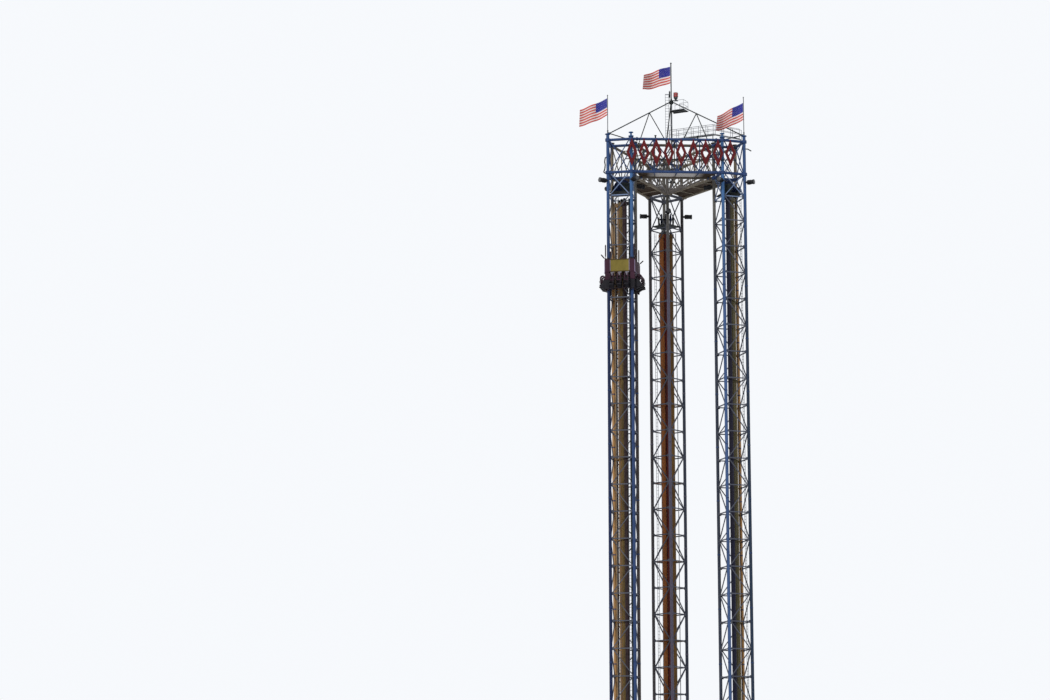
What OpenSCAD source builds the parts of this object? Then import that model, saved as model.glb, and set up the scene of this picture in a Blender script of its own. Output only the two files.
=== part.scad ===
// Drop tower ride with three lattice towers joined by a crown of box trusses, at one tenth of real size.
// Millimetres, +Z up. The origin is the centre of the rear tower's base plate, at its underside.

/* [Towers] */
// Distance between tower centres
tower_spacing = 1120; // [1000:5:1300]
// Side of each square tower between column centres
tower_side = 244; // [236:1:256]
// Outside diameter of a column
column_d = 32.4; // [26:0.2:36]
// Width of a horizontal strut, seen from outside
strut_w = 10.6; // [8:0.2:12]
// Width of a diagonal brace, seen from outside
brace_w = 8.4; // [6:0.2:10]
// Depth of the struts and braces of a tower
lattice_t = 9; // [7:0.5:11]
// Height of one bracing bay
bay = 275.5; // [260:0.5:290]
// Number of equal bays
bays = 24; // [20:1:25]
// Height of the lowest horizontal
first_level = 154; // [120:2:200]
// Bay between the last equal bay and the head
head_bay = 251; // [220:1:280]
// Bay between the head level and the crown's bottom chords
under_crown_bay = 243; // [220:1:270]
// How much lower the rear tower's levels lie
rear_drop = 110; // [60:2:150]

/* [Base] */
// Side of a tower's square base plate
base_side = 340; // [330:2:380]
// Thickness of a base plate
base_t = 12; // [8:1:20]
// Diameter of the circle of anchor holes
anchor_pcd = 420; // [412:2:430]
// Diameter of an anchor hole
anchor_hole_d = 10; // [6:0.5:12]

/* [Crown] */
// Height between the bottom and top chords
crown_h = 347; // [300:1:400]
// Diameter of a crown chord
chord_d = 28; // [22:1:32]
// Diameter of a truss post or cross member
post_d = 12; // [9:0.2:16]
// Panels in one side of a truss
truss_panels = 4; // [3:1:6]
// Thickness of a walkway deck
deck_t = 4; // [3:0.5:6]
// Diameter of a beam in the fan under the crown
fan_d = 18; // [14:1:22]
// Number of fan beams
fan_beams = 9; // [5:2:11]
// Height of a guardrail
rail_h = 105; // [90:5:120]
// Thickness of a guardrail tube
rail_d = 4; // [3:0.5:6]

/* [Mast] */
// Height of the hips' meeting point above the top chords
apex_rise = 535; // [450:1:600]
// Height of the mast top above the hips' meeting point
mast_rise = 428; // [350:1:450]
// Diameter of a hip member
hip_d = 13; // [10:0.5:16]
// Diameter of the mast
mast_d = 18; // [14:1:22]
// Height of a corner flagpole
flagpole_h = 415; // [380:5:480]
// Diameter of a flagpole
flagpole_d = 8; // [6:0.5:10]
// Hoist of a flag
flag_hoist = 183; // [150:1:200]
// Fly of a flag
flag_fly = 305; // [250:1:320]

/* [Cylinders] */
// Diameter of a drive cylinder
tube_d = 46; // [40:1:52]
// Gap between neighbouring cylinders
tube_gap = 2; // [1:0.5:4]
// Distance from the crown's bottom chords down to the left tower's cylinders
left_tube_drop = 300; // [200:5:600]
// Distance from the crown's bottom chords down to the right tower's cylinders
right_tube_drop = 230; // [200:5:600]
// Distance from the crown's bottom chords down to the rear tower's cylinders
rear_tube_drop = 400; // [300:5:700]

/* [Carriages] */
// Clear space between a carriage and the columns
carriage_clearance = 5.3; // [5:0.1:7]
// Thickness of a carriage rail
rail_t = 9; // [7:0.5:11]
// Height of a carriage from its lowest rail to its top rail
carriage_h = 310; // [290:1:340]
// Height of the header panels
header_h = 130; // [110:1:140]
// Width of the sign panel
sign_w = 205; // [180:1:220]
// Distance between seats
seat_pitch = 76; // [74:0.5:80]
// Width of a seat
seat_w = 50; // [44:0.5:56]
// Height of the left carriage's lowest rail, as it stands
left_carriage_z = 6025; // [4000:5:6200]
// Height of the two lowered carriages' lowest rail
low_carriage_z = 80; // [60:5:140]

/* [Hidden] */

// Directions of the towers and trusses from the middle of the group
rear_dir = 90;
left_dir = 210;
right_dir = 330;
front_mid = 270;
left_mid = 150;
right_mid = 30;

// Seat of one welded piece beside the next
seat_gap = 0.3;
group_r = tower_spacing / sqrt(3);
half = tower_side / 2;
corner_r = half * sqrt(2);
column_r = column_d / 2;
face_reach = half - column_r - seat_gap;

// Heights
head_level = first_level + bays * bay + head_bay;
chord_low = head_level + under_crown_bay;
chord_high = chord_low + crown_h;
column_over = 12;
outer_column_over = 46;
column_top = chord_high + chord_d / 2 + column_over;
outer_column_top = chord_high + chord_d / 2 + outer_column_over;
cap_t = 6;
cap_d = 56;
sleeve_r = 27;
cap_top = column_top + cap_t;
outer_cap_top = outer_column_top + cap_t;
apex_z = chord_high + apex_rise;
mast_top = apex_z + mast_rise;
lamp_z = head_level + 153;

// Crown plan, measured from the middle of the group
outer_y = -(group_r / 2 + corner_r * sin(60));
outer_x = group_r * cos(30) - corner_r * cos(60);
inner_y = -(group_r / 2 - corner_r * sin(30));
inner_x = (group_r - corner_r) * cos(30);

steel_blue = [0.23, 0.37, 0.62];
steel_grey = [0.42, 0.42, 0.5];
lilac_grey = [0.6, 0.6, 0.66];
beige_grey = [0.56, 0.52, 0.48];
dark_steel = [0.18, 0.2, 0.2];
maroon = [0.38, 0.08, 0.16];
mustard = [0.66, 0.56, 0.19];

// Heights of the horizontals, lowest first
function levels(drop) = concat(
    [for (i = [(drop > 0 ? 1 : 0):bays]) first_level + i * bay - drop],
    [head_level - drop, chord_low, chord_high]
);

module at_group() {
    translate([0, -group_r, 0]) children();
}

module at_tower(dir) {
    at_group() rotate([0, 0, dir]) translate([group_r, 0, 0]) children();
}

module at_truss(mid) {
    at_group() rotate([0, 0, mid + 90]) children();
}

// A straight bar of few sides between two points
module bar(from, to, d, sides = 6) {
    v = to - from;
    l = norm(v);
    translate(from)
        rotate([0, acos(v[2] / l), atan2(v[1], v[0])])
            rotate([0, 0, 180 / sides])
                cylinder(d = d, h = l, $fn = sides);
}

// Height of such a bar's flat side above its axis
function flat_r(d, sides = 6) = d / 2 * cos(180 / sides);

// A straight bar of square section, set on edge, between two points
module square_bar(from, to, w) {
    v = to - from;
    l = norm(v);
    translate(from)
        rotate([0, acos(v[2] / l), atan2(v[1], v[0])])
            rotate([0, 0, 45]) translate([-w / 2, -w / 2, 0]) cube([w, w, l]);
}

// One face of a tower, x along the face
module on_face(k) {
    rotate([0, 0, 45 + 90 * k + 90]) translate([0, -half, 0]) children();
}

// Base plate with anchor holes
module base_plate() {
    difference() {
        rotate([0, 0, 45]) translate([-base_side / 2, -base_side / 2, 0])
            cube([base_side, base_side, base_t]);
        for (k = [0:3]) rotate([0, 0, 90 * k]) translate([anchor_pcd / 2, 0, -1])
            cylinder(d = anchor_hole_d, h = base_t + 2, $fn = 32);
    }
}

// Four columns with a cap disc each
module columns(mushroom_at) {
    cap_post_d = 20;
    cap_post_h = 34;
    mushroom_d = 48;
    for (k = [0:3]) {
        top = k == 0 ? outer_column_top : column_top;
        rotate([0, 0, 90 * k]) translate([corner_r, 0, 0]) {
            translate([0, 0, base_t]) cylinder(d = column_d, h = top - base_t, $fn = 48);
            translate([0, 0, top]) cylinder(d = cap_d, h = cap_t, $fn = 48);
        }
    }
    if (mushroom_at != undef)
        rotate([0, 0, mushroom_at]) translate([corner_r, 0, cap_top]) {
            cylinder(d = cap_post_d, h = cap_post_h, $fn = 32);
            translate([0, 0, cap_post_h]) cylinder(d = mushroom_d, h = cap_t, $fn = 32);
        }
}

// A straight bar in a flat outline
module flat_bar(from, to, w) {
    v = to - from;
    translate(from) rotate(atan2(v[1], v[0])) translate([0, -w / 2]) square([norm(v), w]);
}

// Bays of one lattice side from level first to level last, each with a zigzag brace above a horizontal
module side_bays(z, first, last, turn, floor_z, roof_z, crossed_from) {
    spill = 10;
    difference() {
        translate([-face_reach, floor_z]) square([2 * face_reach, roof_z - floor_z]);
        for (i = [first:last - 1]) {
            lean = ((i + turn) % 2 == 0 ? 1 : -1) * (face_reach + spill);
            rise = (z[i + 1] - z[i]) * spill / (2 * face_reach);
            low = i == 0 || i > first ? z[i] + strut_w / 2 : floor_z - 1;
            high = i < last - 1 ? z[i + 1] - strut_w / 2 : roof_z + 1;
            difference() {
                translate([-face_reach - spill, low]) square([2 * (face_reach + spill), high - low]);
                flat_bar([-lean, z[i] - rise], [lean, z[i + 1] + rise], brace_w);
                if (i >= crossed_from) flat_bar([lean, z[i] - rise], [-lean, z[i + 1] + rise], brace_w);
            }
        }
    }
}

// Round beam between two columns in a lattice side's plane, coped to the columns
module head_beam(z) {
    difference() {
        translate([-half, 0, z]) rotate([0, 90, 0]) cylinder(d = chord_d, h = 2 * half, $fn = 40);
        for (s = [-1, 1]) translate([s * half, 0, z - chord_d])
            cylinder(r = sleeve_r + seat_gap, h = 2 * chord_d, $fn = 48);
    }
}

// Sleeve round each column, where the beams and chords meet
module sleeves(z) {
    for (k = [0:3]) rotate([0, 0, 90 * k]) translate([corner_r, 0, z - chord_d / 2]) difference() {
        cylinder(r = sleeve_r, h = chord_d, $fn = 48);
        translate([0, 0, -1]) cylinder(r = column_r + seat_gap, h = chord_d + 2, $fn = 48);
    }
}

// Four flat lattice sides between the columns, with round beams at the crown's chords
module lattice(drop) {
    z = levels(drop);
    last = len(z) - 1;
    beam_r = chord_d / 2 + seat_gap;
    for (k = [0:3]) on_face(k) {
        rotate([90, 0, 0]) translate([0, 0, -lattice_t / 2]) linear_extrude(lattice_t) {
            side_bays(z, 0, last - 1, k, z[0] - strut_w / 2, chord_low - beam_r, last - 2);
            side_bays(z, last - 1, last, k, chord_low + beam_r, chord_high - beam_r, 0);
        }
        head_beam(chord_low);
        head_beam(chord_high);
    }
    sleeves(chord_low);
    sleeves(chord_high);
}

// Row of three drive cylinders on a foot plate under a head block, in guide plates that reach to the columns
module cylinders(drop, level_drop) {
    pitch = tube_d + tube_gap;
    foot_t = 8;
    edge = 8;
    head_h = 34;
    guide_t = 6;
    guide_every = 3;
    arm_w = 14;
    top = chord_low - drop;
    row_w = tube_d + 2 * edge;
    row_l = 2 * pitch + tube_d + 2 * edge;
    arm_reach = corner_r - column_r - seat_gap;
    translate([-row_w / 2, -row_l / 2, base_t]) cube([row_w, row_l, foot_t]);
    translate([-row_w / 2, -row_l / 2, top - head_h]) cube([row_w, row_l, head_h]);
    for (i = [-1:1]) translate([0, i * pitch, base_t + 1])
        cylinder(d = tube_d, h = top - base_t - 2, $fn = 40);
    for (n = [guide_every:guide_every:bays - 1])
        translate([0, 0, first_level + n * bay - level_drop - guide_t / 2]) difference() {
            union() {
                translate([-row_w / 2, -row_l / 2, 0]) cube([row_w, row_l, guide_t]);
                translate([-arm_w / 2, -arm_reach, 0]) cube([arm_w, 2 * arm_reach, guide_t]);
            }
            for (i = [-1:1]) translate([0, i * pitch, -1])
                cylinder(d = tube_d + 2 * seat_gap, h = guide_t + 2, $fn = 40);
        }
}

// Ladder with flat stiles and rungs, standing in the plane y = 0
ladder_w = 36;
rung_pitch = 30;
stile_w = 4;
ladder_t = 3;
rung_t = 3;
module ladder(z_low, z_high) {
    rungs = floor((z_high - z_low) / rung_pitch);
    translate([0, ladder_t / 2, z_low]) rotate([90, 0, 0]) linear_extrude(ladder_t) difference() {
        translate([-ladder_w / 2 - stile_w / 2, 0]) square([ladder_w + stile_w, z_high - z_low]);
        for (i = [0:rungs - 1])
            translate([-ladder_w / 2 + stile_w / 2, i * rung_pitch + rung_t])
                square([ladder_w - stile_w, rung_pitch - rung_t]);
    }
}

// Ladder inside a tower, just behind its front lattice side
module tower_ladder(top) {
    ladder_in = 14;
    ladder_side = -35;
    on_face(0) translate([ladder_side, ladder_in, 0]) ladder(base_t, top);
}

// Floodlight cans that point outwards at the four columns
module floodlights(drop) {
    can_d = 45;
    can_l = 75;
    arm_d = 10;
    arm_l = 14;
    hood_d = 50;
    hood_l = 12;
    for (k = [0:3]) rotate([0, 0, 90 * k]) translate([corner_r + column_r + seat_gap, 0, lamp_z - drop])
        rotate([0, 90, 0]) {
            cylinder(d = arm_d, h = arm_l + 1, $fn = 24);
            translate([0, 0, arm_l]) cylinder(d = can_d, h = can_l, $fn = 40);
            translate([0, 0, arm_l + can_l - hood_l]) cylinder(d = hood_d, h = hood_l, $fn = 40);
        }
}

// One flat side of a truss in the plane y = 0
module truss_side(reach) {
    panel = 2 * reach / truss_panels;
    for (z = [chord_low, chord_high]) bar([-reach, 0, z], [reach, 0, z], chord_d, 8);
    for (i = [1:truss_panels - 1]) bar([-reach + i * panel, 0, chord_low], [-reach + i * panel, 0, chord_high], post_d);
    for (i = [0:truss_panels - 1]) {
        x0 = -reach + i * panel;
        square_bar([x0, 0, chord_low], [x0 + panel, 0, chord_high], brace_w);
        square_bar([x0 + panel, 0, chord_low], [x0, 0, chord_high], brace_w);
    }
}

// Box truss between two towers, its chord ends coped round the columns and mitred to the next truss
module truss() {
    cope_d = 2 * (sleeve_r + seat_gap);
    cope_h = crown_h + 2 * column_d;
    difference() {
        union() {
            translate([0, outer_y, 0]) truss_side(outer_x);
            translate([0, inner_y, 0]) truss_side(inner_x);
            for (z = [chord_low, chord_high])
                for (i = [1:truss_panels - 1]) {
                    f = -1 + 2 * i / truss_panels;
                    bar([f * outer_x, outer_y, z], [f * inner_x, inner_y, z], post_d);
                }
        }
        for (s = [-1, 1]) {
            translate([s * outer_x, outer_y, chord_low - column_d]) cylinder(d = cope_d, h = cope_h, $fn = 48);
            translate([s * inner_x, inner_y, chord_low - column_d]) cylinder(d = cope_d, h = cope_h, $fn = 48);
        }
        rotate([0, 0, right_dir]) translate([0, -seat_gap / 2, chord_low - column_d])
            cube([2 * group_r, group_r, cope_h]);
        rotate([0, 0, left_dir]) translate([0, seat_gap / 2 - group_r, chord_low - column_d])
            cube([2 * group_r, group_r, cope_h]);
    }
}

// Walkway deck laid on the lower cross members
module walkway() {
    deck_z = chord_low + flat_r(post_d) + seat_gap;
    y0 = outer_y + chord_d / 2 + seat_gap;
    y1 = inner_y - chord_d / 2 - seat_gap;
    clear = column_d + post_d;
    kick_h = 8;
    translate([0, 0, deck_z]) {
        linear_extrude(deck_t)
            polygon([[-outer_x + clear, y0], [outer_x - clear, y0], [inner_x - clear, y1], [-inner_x + clear, y1]]);
        translate([-outer_x + clear, y0, 0]) cube([2 * (outer_x - clear), deck_t, kick_h]);
        translate([-inner_x + clear, y1 - deck_t, 0]) cube([2 * (inner_x - clear), deck_t, kick_h]);
    }
}

// Beams that spread from the rear tower's inner column to the front truss, coped to the side trusses' chords
module crown_fan() {
    hub = [0, -corner_r, chord_low];
    chord_y = -group_r + inner_y;
    cope_d = 2 * (sleeve_r + seat_gap);
    step = 2 * inner_x / (fan_beams + 1);
    hub_r = 74;
    hub_t = 10;
    chord_half = flat_r(chord_d, 8) + seat_gap;
    difference() {
        union() {
            for (i = [1:fan_beams]) bar(hub, [-inner_x + i * step, chord_y, chord_low], fan_d);
            translate(hub - [0, 0, hub_t / 2]) rotate([0, 0, 240])
                rotate_extrude(angle = 60, $fn = 64) square([hub_r, hub_t]);
        }
        translate(hub - [0, 0, column_d]) cylinder(d = cope_d, h = 2 * column_d, $fn = 48);
        for (s = [-1, 1]) bar(hub, [s * inner_x, chord_y, chord_low], 2 * chord_half / cos(180 / 8), 8);
        translate([-inner_x, chord_y - column_d, chord_low - column_d])
            cube([2 * inner_x, column_d + chord_half, 2 * column_d]);
    }
}

// Outline of a path that runs level from x0 to x1 and then slopes down to x2, d high
module path_outline(x0, x1, x2, z, fall, d) {
    polygon([[x0, z], [x1, z], [x2, z - fall], [x2, z - fall + d], [x1, z + d], [x0, z + d]]);
}

// Catwalk from the mast to the right tower, which goes on down to the outer column as a ramp
module mast_catwalk() {
    deck_rise = 130;
    deck_z = chord_high + deck_rise;
    near = mast_d / 2 + seat_gap;
    wide = 58;
    start = -30;
    bend = group_r - corner_r - 4;
    end = group_r + corner_r - near - wide + 14;
    fall = 88;
    foot_z = chord_high + chord_d / 2 + seat_gap;
    posts = 6;
    ramp_posts = 3;
    leg_d = 10;
    bracket = 16;
    floor_z = deck_z + deck_t + seat_gap;
    level_gap = (bend - start) / posts;
    ramp_gap = (end - bend) / ramp_posts;
    translate([0, near + wide, 0]) rotate([90, 0, 0]) linear_extrude(wide)
        path_outline(start, bend, end, deck_z, fall, deck_t);
    for (y = [near + rail_d, near + wide]) translate([0, y, 0]) rotate([90, 0, 0]) linear_extrude(rail_d) {
        for (f = [0, 0.5, 1]) path_outline(start, bend, end, floor_z + f * (rail_h - rail_d), fall, rail_d);
        for (i = [0:posts]) translate([start + i * level_gap - (i == 0 ? 0 : rail_d / 2), floor_z])
            square([rail_d, rail_h]);
        for (i = [1:ramp_posts])
            translate([bend + i * ramp_gap - rail_d, floor_z - i * fall / ramp_posts + 1])
                square([rail_d, rail_h - 2]);
    }
    translate([group_r - corner_r - leg_d, near + leg_d / 2, cap_top + seat_gap])
        cylinder(d = leg_d, h = deck_z - cap_top - 2 * seat_gap, $fn = 24);
    translate([end - leg_d / 2, group_r + corner_r - end + leg_d / 2, foot_z])
        cylinder(d = leg_d, h = deck_z - fall - seat_gap - foot_z, $fn = 24);
    translate([-bracket / 2, near, deck_z - seat_gap - bracket]) cube([bracket, wide, bracket]);
}

// Hips from the outer columns to the mast, with their ties and the props on the front truss
hip_foot_in = 20;
hip_foot_r = group_r + corner_r - hip_foot_in;
hip_foot_rise = seat_gap + hip_d / 2 + 2;
hip_foot_z = outer_cap_top + hip_foot_rise;
hip_top_r = mast_d / 2 + 6;
function hip_point(dir, f) = let (r = hip_foot_r + (hip_top_r - hip_foot_r) * f)
    [r * cos(dir), r * sin(dir), hip_foot_z + f * (apex_z - hip_foot_z)];

collar_d = mast_d + 24;
collar_h = 34;
beacon_x = 48;
beacon_shelf_w = 24;
beacon_shelf_t = 5;
module hip_foot(r, dir, z) {
    foot_d = hip_d + 9;
    foot_h = hip_d + 4;
    translate([r * cos(dir), r * sin(dir), z + seat_gap]) cylinder(d = foot_d, h = foot_h, $fn = 32);
}

module mast_hips() {
    prop_f = 0.655;
    prop_d = 10;
    prop_feet = [370, 73];
    prop_foot_d = 24;
    prop_foot_t = 7;
    prop_foot_z = chord_high + flat_r(chord_d, 8) + seat_gap;
    tie_in = group_r - corner_r + hip_foot_in;
    difference() {
        union() {
            for (dir = [rear_dir, left_dir, right_dir]) {
                bar(hip_point(dir, 0), hip_point(dir, 1), hip_d);
                bar(hip_point(dir, 0), [tie_in * cos(dir), tie_in * sin(dir), cap_top + hip_foot_rise], hip_d - 2);
                hip_foot(hip_foot_r, dir, outer_cap_top);
                hip_foot(tie_in, dir, cap_top);
            }
            for (s = [-1, 1], x = prop_feet) {
                bar(hip_point(s < 0 ? left_dir : right_dir, prop_f), [s * x, inner_y, prop_foot_z + 4], prop_d);
                translate([s * x, inner_y, prop_foot_z]) cylinder(d = prop_foot_d, h = prop_foot_t, $fn = 32);
            }
            translate([0, 0, apex_z - collar_h / 2]) cylinder(d = collar_d, h = collar_h, $fn = 32);
            translate([0, -beacon_shelf_w / 2, apex_z + collar_h / 2 - 1])
                cube([beacon_x + beacon_shelf_w, beacon_shelf_w, beacon_shelf_t]);
        }
        translate([0, 0, apex_z - collar_h]) cylinder(d = mast_d + 2 * seat_gap, h = 2 * collar_h, $fn = 40);
    }
}

mast_foot_z = chord_low + flat_r(fan_d) + seat_gap;
module mast() {
    foot_d = 70;
    foot_t = 6;
    upper_d = mast_d - 6;
    translate([0, 0, mast_foot_z]) {
        cylinder(d = foot_d, h = foot_t, $fn = 40);
        cylinder(d = mast_d, h = apex_z + 40 - mast_foot_z, $fn = 40);
    }
    translate([0, 0, apex_z]) cylinder(d = upper_d, h = mast_top - apex_z, $fn = 32);
    translate([0, 0, mast_top]) sphere(d = upper_d + 6, $fn = 24);
}

mast_ladder_x = -45;
module mast_ladder() {
    z0 = mast_foot_z + 24;
    z1 = apex_z + 90;
    bracket_pitch = 180;
    translate([mast_ladder_x, 0, 0]) ladder(z0, z1);
    for (z = [z0 + rung_pitch * 2 : bracket_pitch : apex_z - 60])
        square_bar([mast_ladder_x + ladder_w / 2, 0, z], [-mast_d / 2 - seat_gap, 0, z], rung_t);
}

// Service platform beside the mast
platform_z = apex_z - 109;
module mast_platform() {
    side = 132;
    reach = 160;
    x0 = mast_d / 2 + seat_gap;
    floor_t = 4;
    post_inset = 4;
    beam = 8;
    translate([x0, -side / 2, platform_z]) {
        cube([reach, side, floor_t]);
        for (y = [side / 2 - 40, side / 2 + 32]) translate([0, y, -beam]) cube([reach, beam, beam]);
    }
    for (y = [-side / 2 + post_inset, side / 2 - post_inset])
        for (x = [x0 + 60, x0 + reach - post_inset])
            translate([x, y, platform_z]) cylinder(d = rail_d, h = rail_h, $fn = 6);
    for (z = [platform_z + rail_h / 2, platform_z + rail_h]) {
        for (y = [-side / 2 + post_inset, side / 2 - post_inset])
            bar([x0 + 60, y, z], [x0 + reach - post_inset, y, z], rail_d, 6);
        bar([x0 + reach - post_inset, -side / 2 + post_inset, z],
            [x0 + reach - post_inset, side / 2 - post_inset, z], rail_d, 6);
    }
}

// Whip antenna that stands on the collar of the hips
module antenna() {
    antenna_x = -17;
    antenna_d = 4;
    antenna_h = 112;
    socket_d = 7;
    socket_h = 8;
    translate([antenna_x, 0, apex_z + collar_h / 2 + seat_gap]) {
        cylinder(d = socket_d, h = socket_h, $fn = 24);
        cylinder(d = antenna_d, h = antenna_h, $fn = 24);
    }
}

// Lamp with a dark round body under a red lens
module warning_beacon() {
    stem_d = 22;
    stem_h = 8;
    flare_h = 14;
    body_d = 42;
    body_h = 28;
    lens_d = 46;
    lens_h = 44;
    top_d = 34;
    top_h = 6;
    lens_z = stem_h + body_h;
    translate([beacon_x, 0, apex_z + collar_h / 2 - 1 + beacon_shelf_t + seat_gap]) {
        cylinder(d = stem_d, h = stem_h, $fn = 32);
        translate([0, 0, stem_h]) cylinder(d1 = stem_d, d2 = body_d, h = flare_h, $fn = 32);
        translate([0, 0, stem_h + flare_h]) cylinder(d = body_d, h = body_h - flare_h, $fn = 32);
        translate([0, 0, lens_z]) cylinder(d = lens_d, h = lens_h, $fn = 32);
        translate([0, 0, lens_z + lens_h]) cylinder(d1 = lens_d, d2 = top_d, h = top_h, $fn = 32);
    }
}

module flagpole() {
    socket_d = 14;
    socket_h = 40;
    translate([group_r + corner_r, 0, outer_cap_top]) {
        cylinder(d = socket_d, h = socket_h, $fn = 24);
        cylinder(d = flagpole_d, h = flagpole_h, $fn = 24);
        translate([0, 0, flagpole_h]) sphere(d = flagpole_d + 4, $fn = 24);
    }
}

// Closed thin solid of a flag that flies to the left and droops
module flag(pole_r, droop) {
    flag_t = 3;
    rotate([90, 0, 0]) translate([0, 0, -flag_t / 2]) linear_extrude(flag_t)
        polygon([
            [-pole_r - seat_gap, 0],
            [-pole_r - seat_gap, -flag_hoist],
            [-flag_fly * cos(droop), -flag_hoist - flag_fly * sin(droop)],
            [-flag_fly * cos(droop), -flag_fly * sin(droop)]
        ]);
}

module flag_at(point, pole_r, droop) {
    translate(point) flag(pole_r, droop);
}

function outer_corner(dir) = [(group_r + corner_r) * cos(dir), (group_r + corner_r) * sin(dir), 0];

// Row of plain lozenges in front of the crown
sign_len = 1150;
sign_x = 40;
sign_y = outer_y - column_r - 16;
sign_rail_d = 10;
function sign_rail_z(i) = chord_low + crown_h * (i == 0 ? 0.36 : 0.76);
module sign_rails() {
    arm_y0 = outer_y - column_r - seat_gap;
    for (i = [0, 1]) {
        z = sign_rail_z(i);
        bar([sign_x - sign_len / 2, sign_y, z], [sign_x + sign_len / 2, sign_y, z], sign_rail_d, 8);
        for (s = [-1, 1]) bar([s * outer_x, arm_y0, z], [s * outer_x, sign_y, z], post_d);
    }
}

module sign_lozenges() {
    count = 9;
    pitch = sign_len / count;
    high = 290;
    wide = 112;
    hole = 0.5;
    t = 10;
    mid_z = (sign_rail_z(0) + sign_rail_z(1)) / 2;
    for (i = [0:count - 1])
        translate([sign_x - sign_len / 2 + (i + 0.5) * pitch, sign_y - sign_rail_d / 2 - seat_gap, mid_z])
            rotate([90, 0, 0]) linear_extrude(t) difference() {
                polygon([[-wide / 2, 0], [0, -high / 2], [wide / 2, 0], [0, high / 2]]);
                polygon([[-wide / 2 * hole, 0], [0, -high / 2 * hole], [wide / 2 * hole, 0], [0, high / 2 * hole]]);
            }
}

// Carriage, with its own z measured from its lowest rail
ring_in = half + column_r + carriage_clearance;
ring_out = ring_in + rail_t;
header_low = carriage_h - header_h - 4;
seat_rail_z = 123;
panel_t = 4;
pivot_out = 10;
pivot_d = 7;

module on_left_tower() {
    at_tower(left_dir) translate([0, 0, left_carriage_z]) children();
}

module on_right_tower() {
    at_tower(right_dir) translate([0, 0, low_carriage_z]) children();
}

module on_rear_tower() {
    at_tower(rear_dir) translate([0, 0, low_carriage_z]) children();
}

// Face of a carriage with x along it and y outwards
module each_side(list = [0:3]) {
    for (k = list) rotate([0, 0, 45 + 90 * k - 90]) children();
}

module square_ring(z) {
    translate([0, 0, z]) rotate([0, 0, 45]) difference() {
        translate([-ring_out, -ring_out, 0]) cube([2 * ring_out, 2 * ring_out, rail_t]);
        translate([-ring_in, -ring_in, -1]) cube([2 * ring_in, 2 * ring_in, rail_t + 2]);
    }
}

module carriage_frame() {
    prong_h = 155;
    prong_d = 6;
    arm_out = 40;
    arm_up = 44;
    lug_w = 16;
    post = ring_out - rail_t / 2;
    square_ring(0);
    square_ring(seat_rail_z);
    square_ring(carriage_h - rail_t);
    each_side() {
        translate([ring_in, ring_in, 0]) cube([rail_t, rail_t, carriage_h]);
        for (i = [-1:1]) {
            translate([i * seat_pitch - rail_t / 2, ring_in, 0]) cube([rail_t, rail_t, seat_rail_z + 1]);
            translate([i * seat_pitch - lug_w / 2, ring_out - 1, seat_rail_z])
                cube([lug_w, 1 + pivot_out - pivot_d / 2, rail_t]);
        }
        translate([post, post, carriage_h - 1]) cylinder(d = prong_d, h = prong_h, $fn = 8);
        bar([post, post, carriage_h - rail_t / 2], [post + arm_out, post + arm_out, carriage_h + arm_up], prong_d);
    }
}

module carriage_panels() {
    edge_gap = 3;
    edge_w = (2 * ring_out - sign_w) / 2 - edge_gap;
    each_side([0, 2])
        for (s = [-1, 1]) translate([s * (ring_out - edge_w / 2) - edge_w / 2, ring_out + seat_gap, header_low])
            cube([edge_w, panel_t, header_h]);
    each_side([1, 3])
        translate([-ring_out, ring_out + seat_gap, header_low]) cube([2 * ring_out, panel_t, header_h]);
}

module carriage_sign() {
    border = 8;
    raised = 2;
    each_side([0, 2]) translate([-sign_w / 2, ring_out + seat_gap, header_low]) difference() {
        cube([sign_w, panel_t + raised, header_h]);
        translate([border, panel_t, border]) cube([sign_w - 2 * border, raised + 1, header_h - 2 * border]);
    }
}

// Points of an arc in the seat's side view
function arc(c, r, a0, a1, n) = [for (i = [0:n]) let (a = a0 + (a1 - a0) * i / n) [c[0] + r * cos(a), c[1] + r * sin(a)]];

// Side view of a moulded seat: x outwards from the rail, y up from the lowest rail
seat_profile = concat(
    [[0, 2], [0, 110]],
    arc([8, 110], 8, 165, 15, 3),
    [[18, 84], [22, 60]],
    arc([36, 52], 12, 180, 270, 3),
    arc([66, 34], 8, 80, -70, 3),
    [[40, 20], [22, 10], [12, 2]]
);
wing_profile = concat(
    [[0, 46], [0, 104]],
    arc([20, 96], 12, 100, 10, 2),
    [[36, 72], [56, 62]],
    arc([62, 52], 8, 60, -60, 2),
    [[40, 24], [10, 22]]
);

module seat_side_view(profile, w) {
    rotate([90, 0, 90]) translate([0, 0, -w / 2]) linear_extrude(w) polygon(profile);
}

module seats() {
    wing_t = 5;
    each_side() for (i = [-1:1]) translate([i * seat_pitch, ring_out + seat_gap, 0]) {
        seat_side_view(seat_profile, seat_w - 2 * wing_t + 2);
        for (s = [-1, 1]) translate([s * (seat_w - wing_t) / 2, 0, 0]) seat_side_view(wing_profile, wing_t);
    }
}

// Over-the-shoulder restraint: two curved arms, a pivot bar and a chest bar.
// Its side view has x outwards from the seat rail and y up from the rail's underside.
arm_t = 8;
arm_bend = [36, 3];
arm_r = 30;
restraint_profile = concat(
    arc(arm_bend, arm_r, 180, 0, 5),
    [[64, -30], [61, -52], [53, -50], [56, -30]],
    arc(arm_bend, arm_r - arm_t, 0, 180, 5)
);

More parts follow.
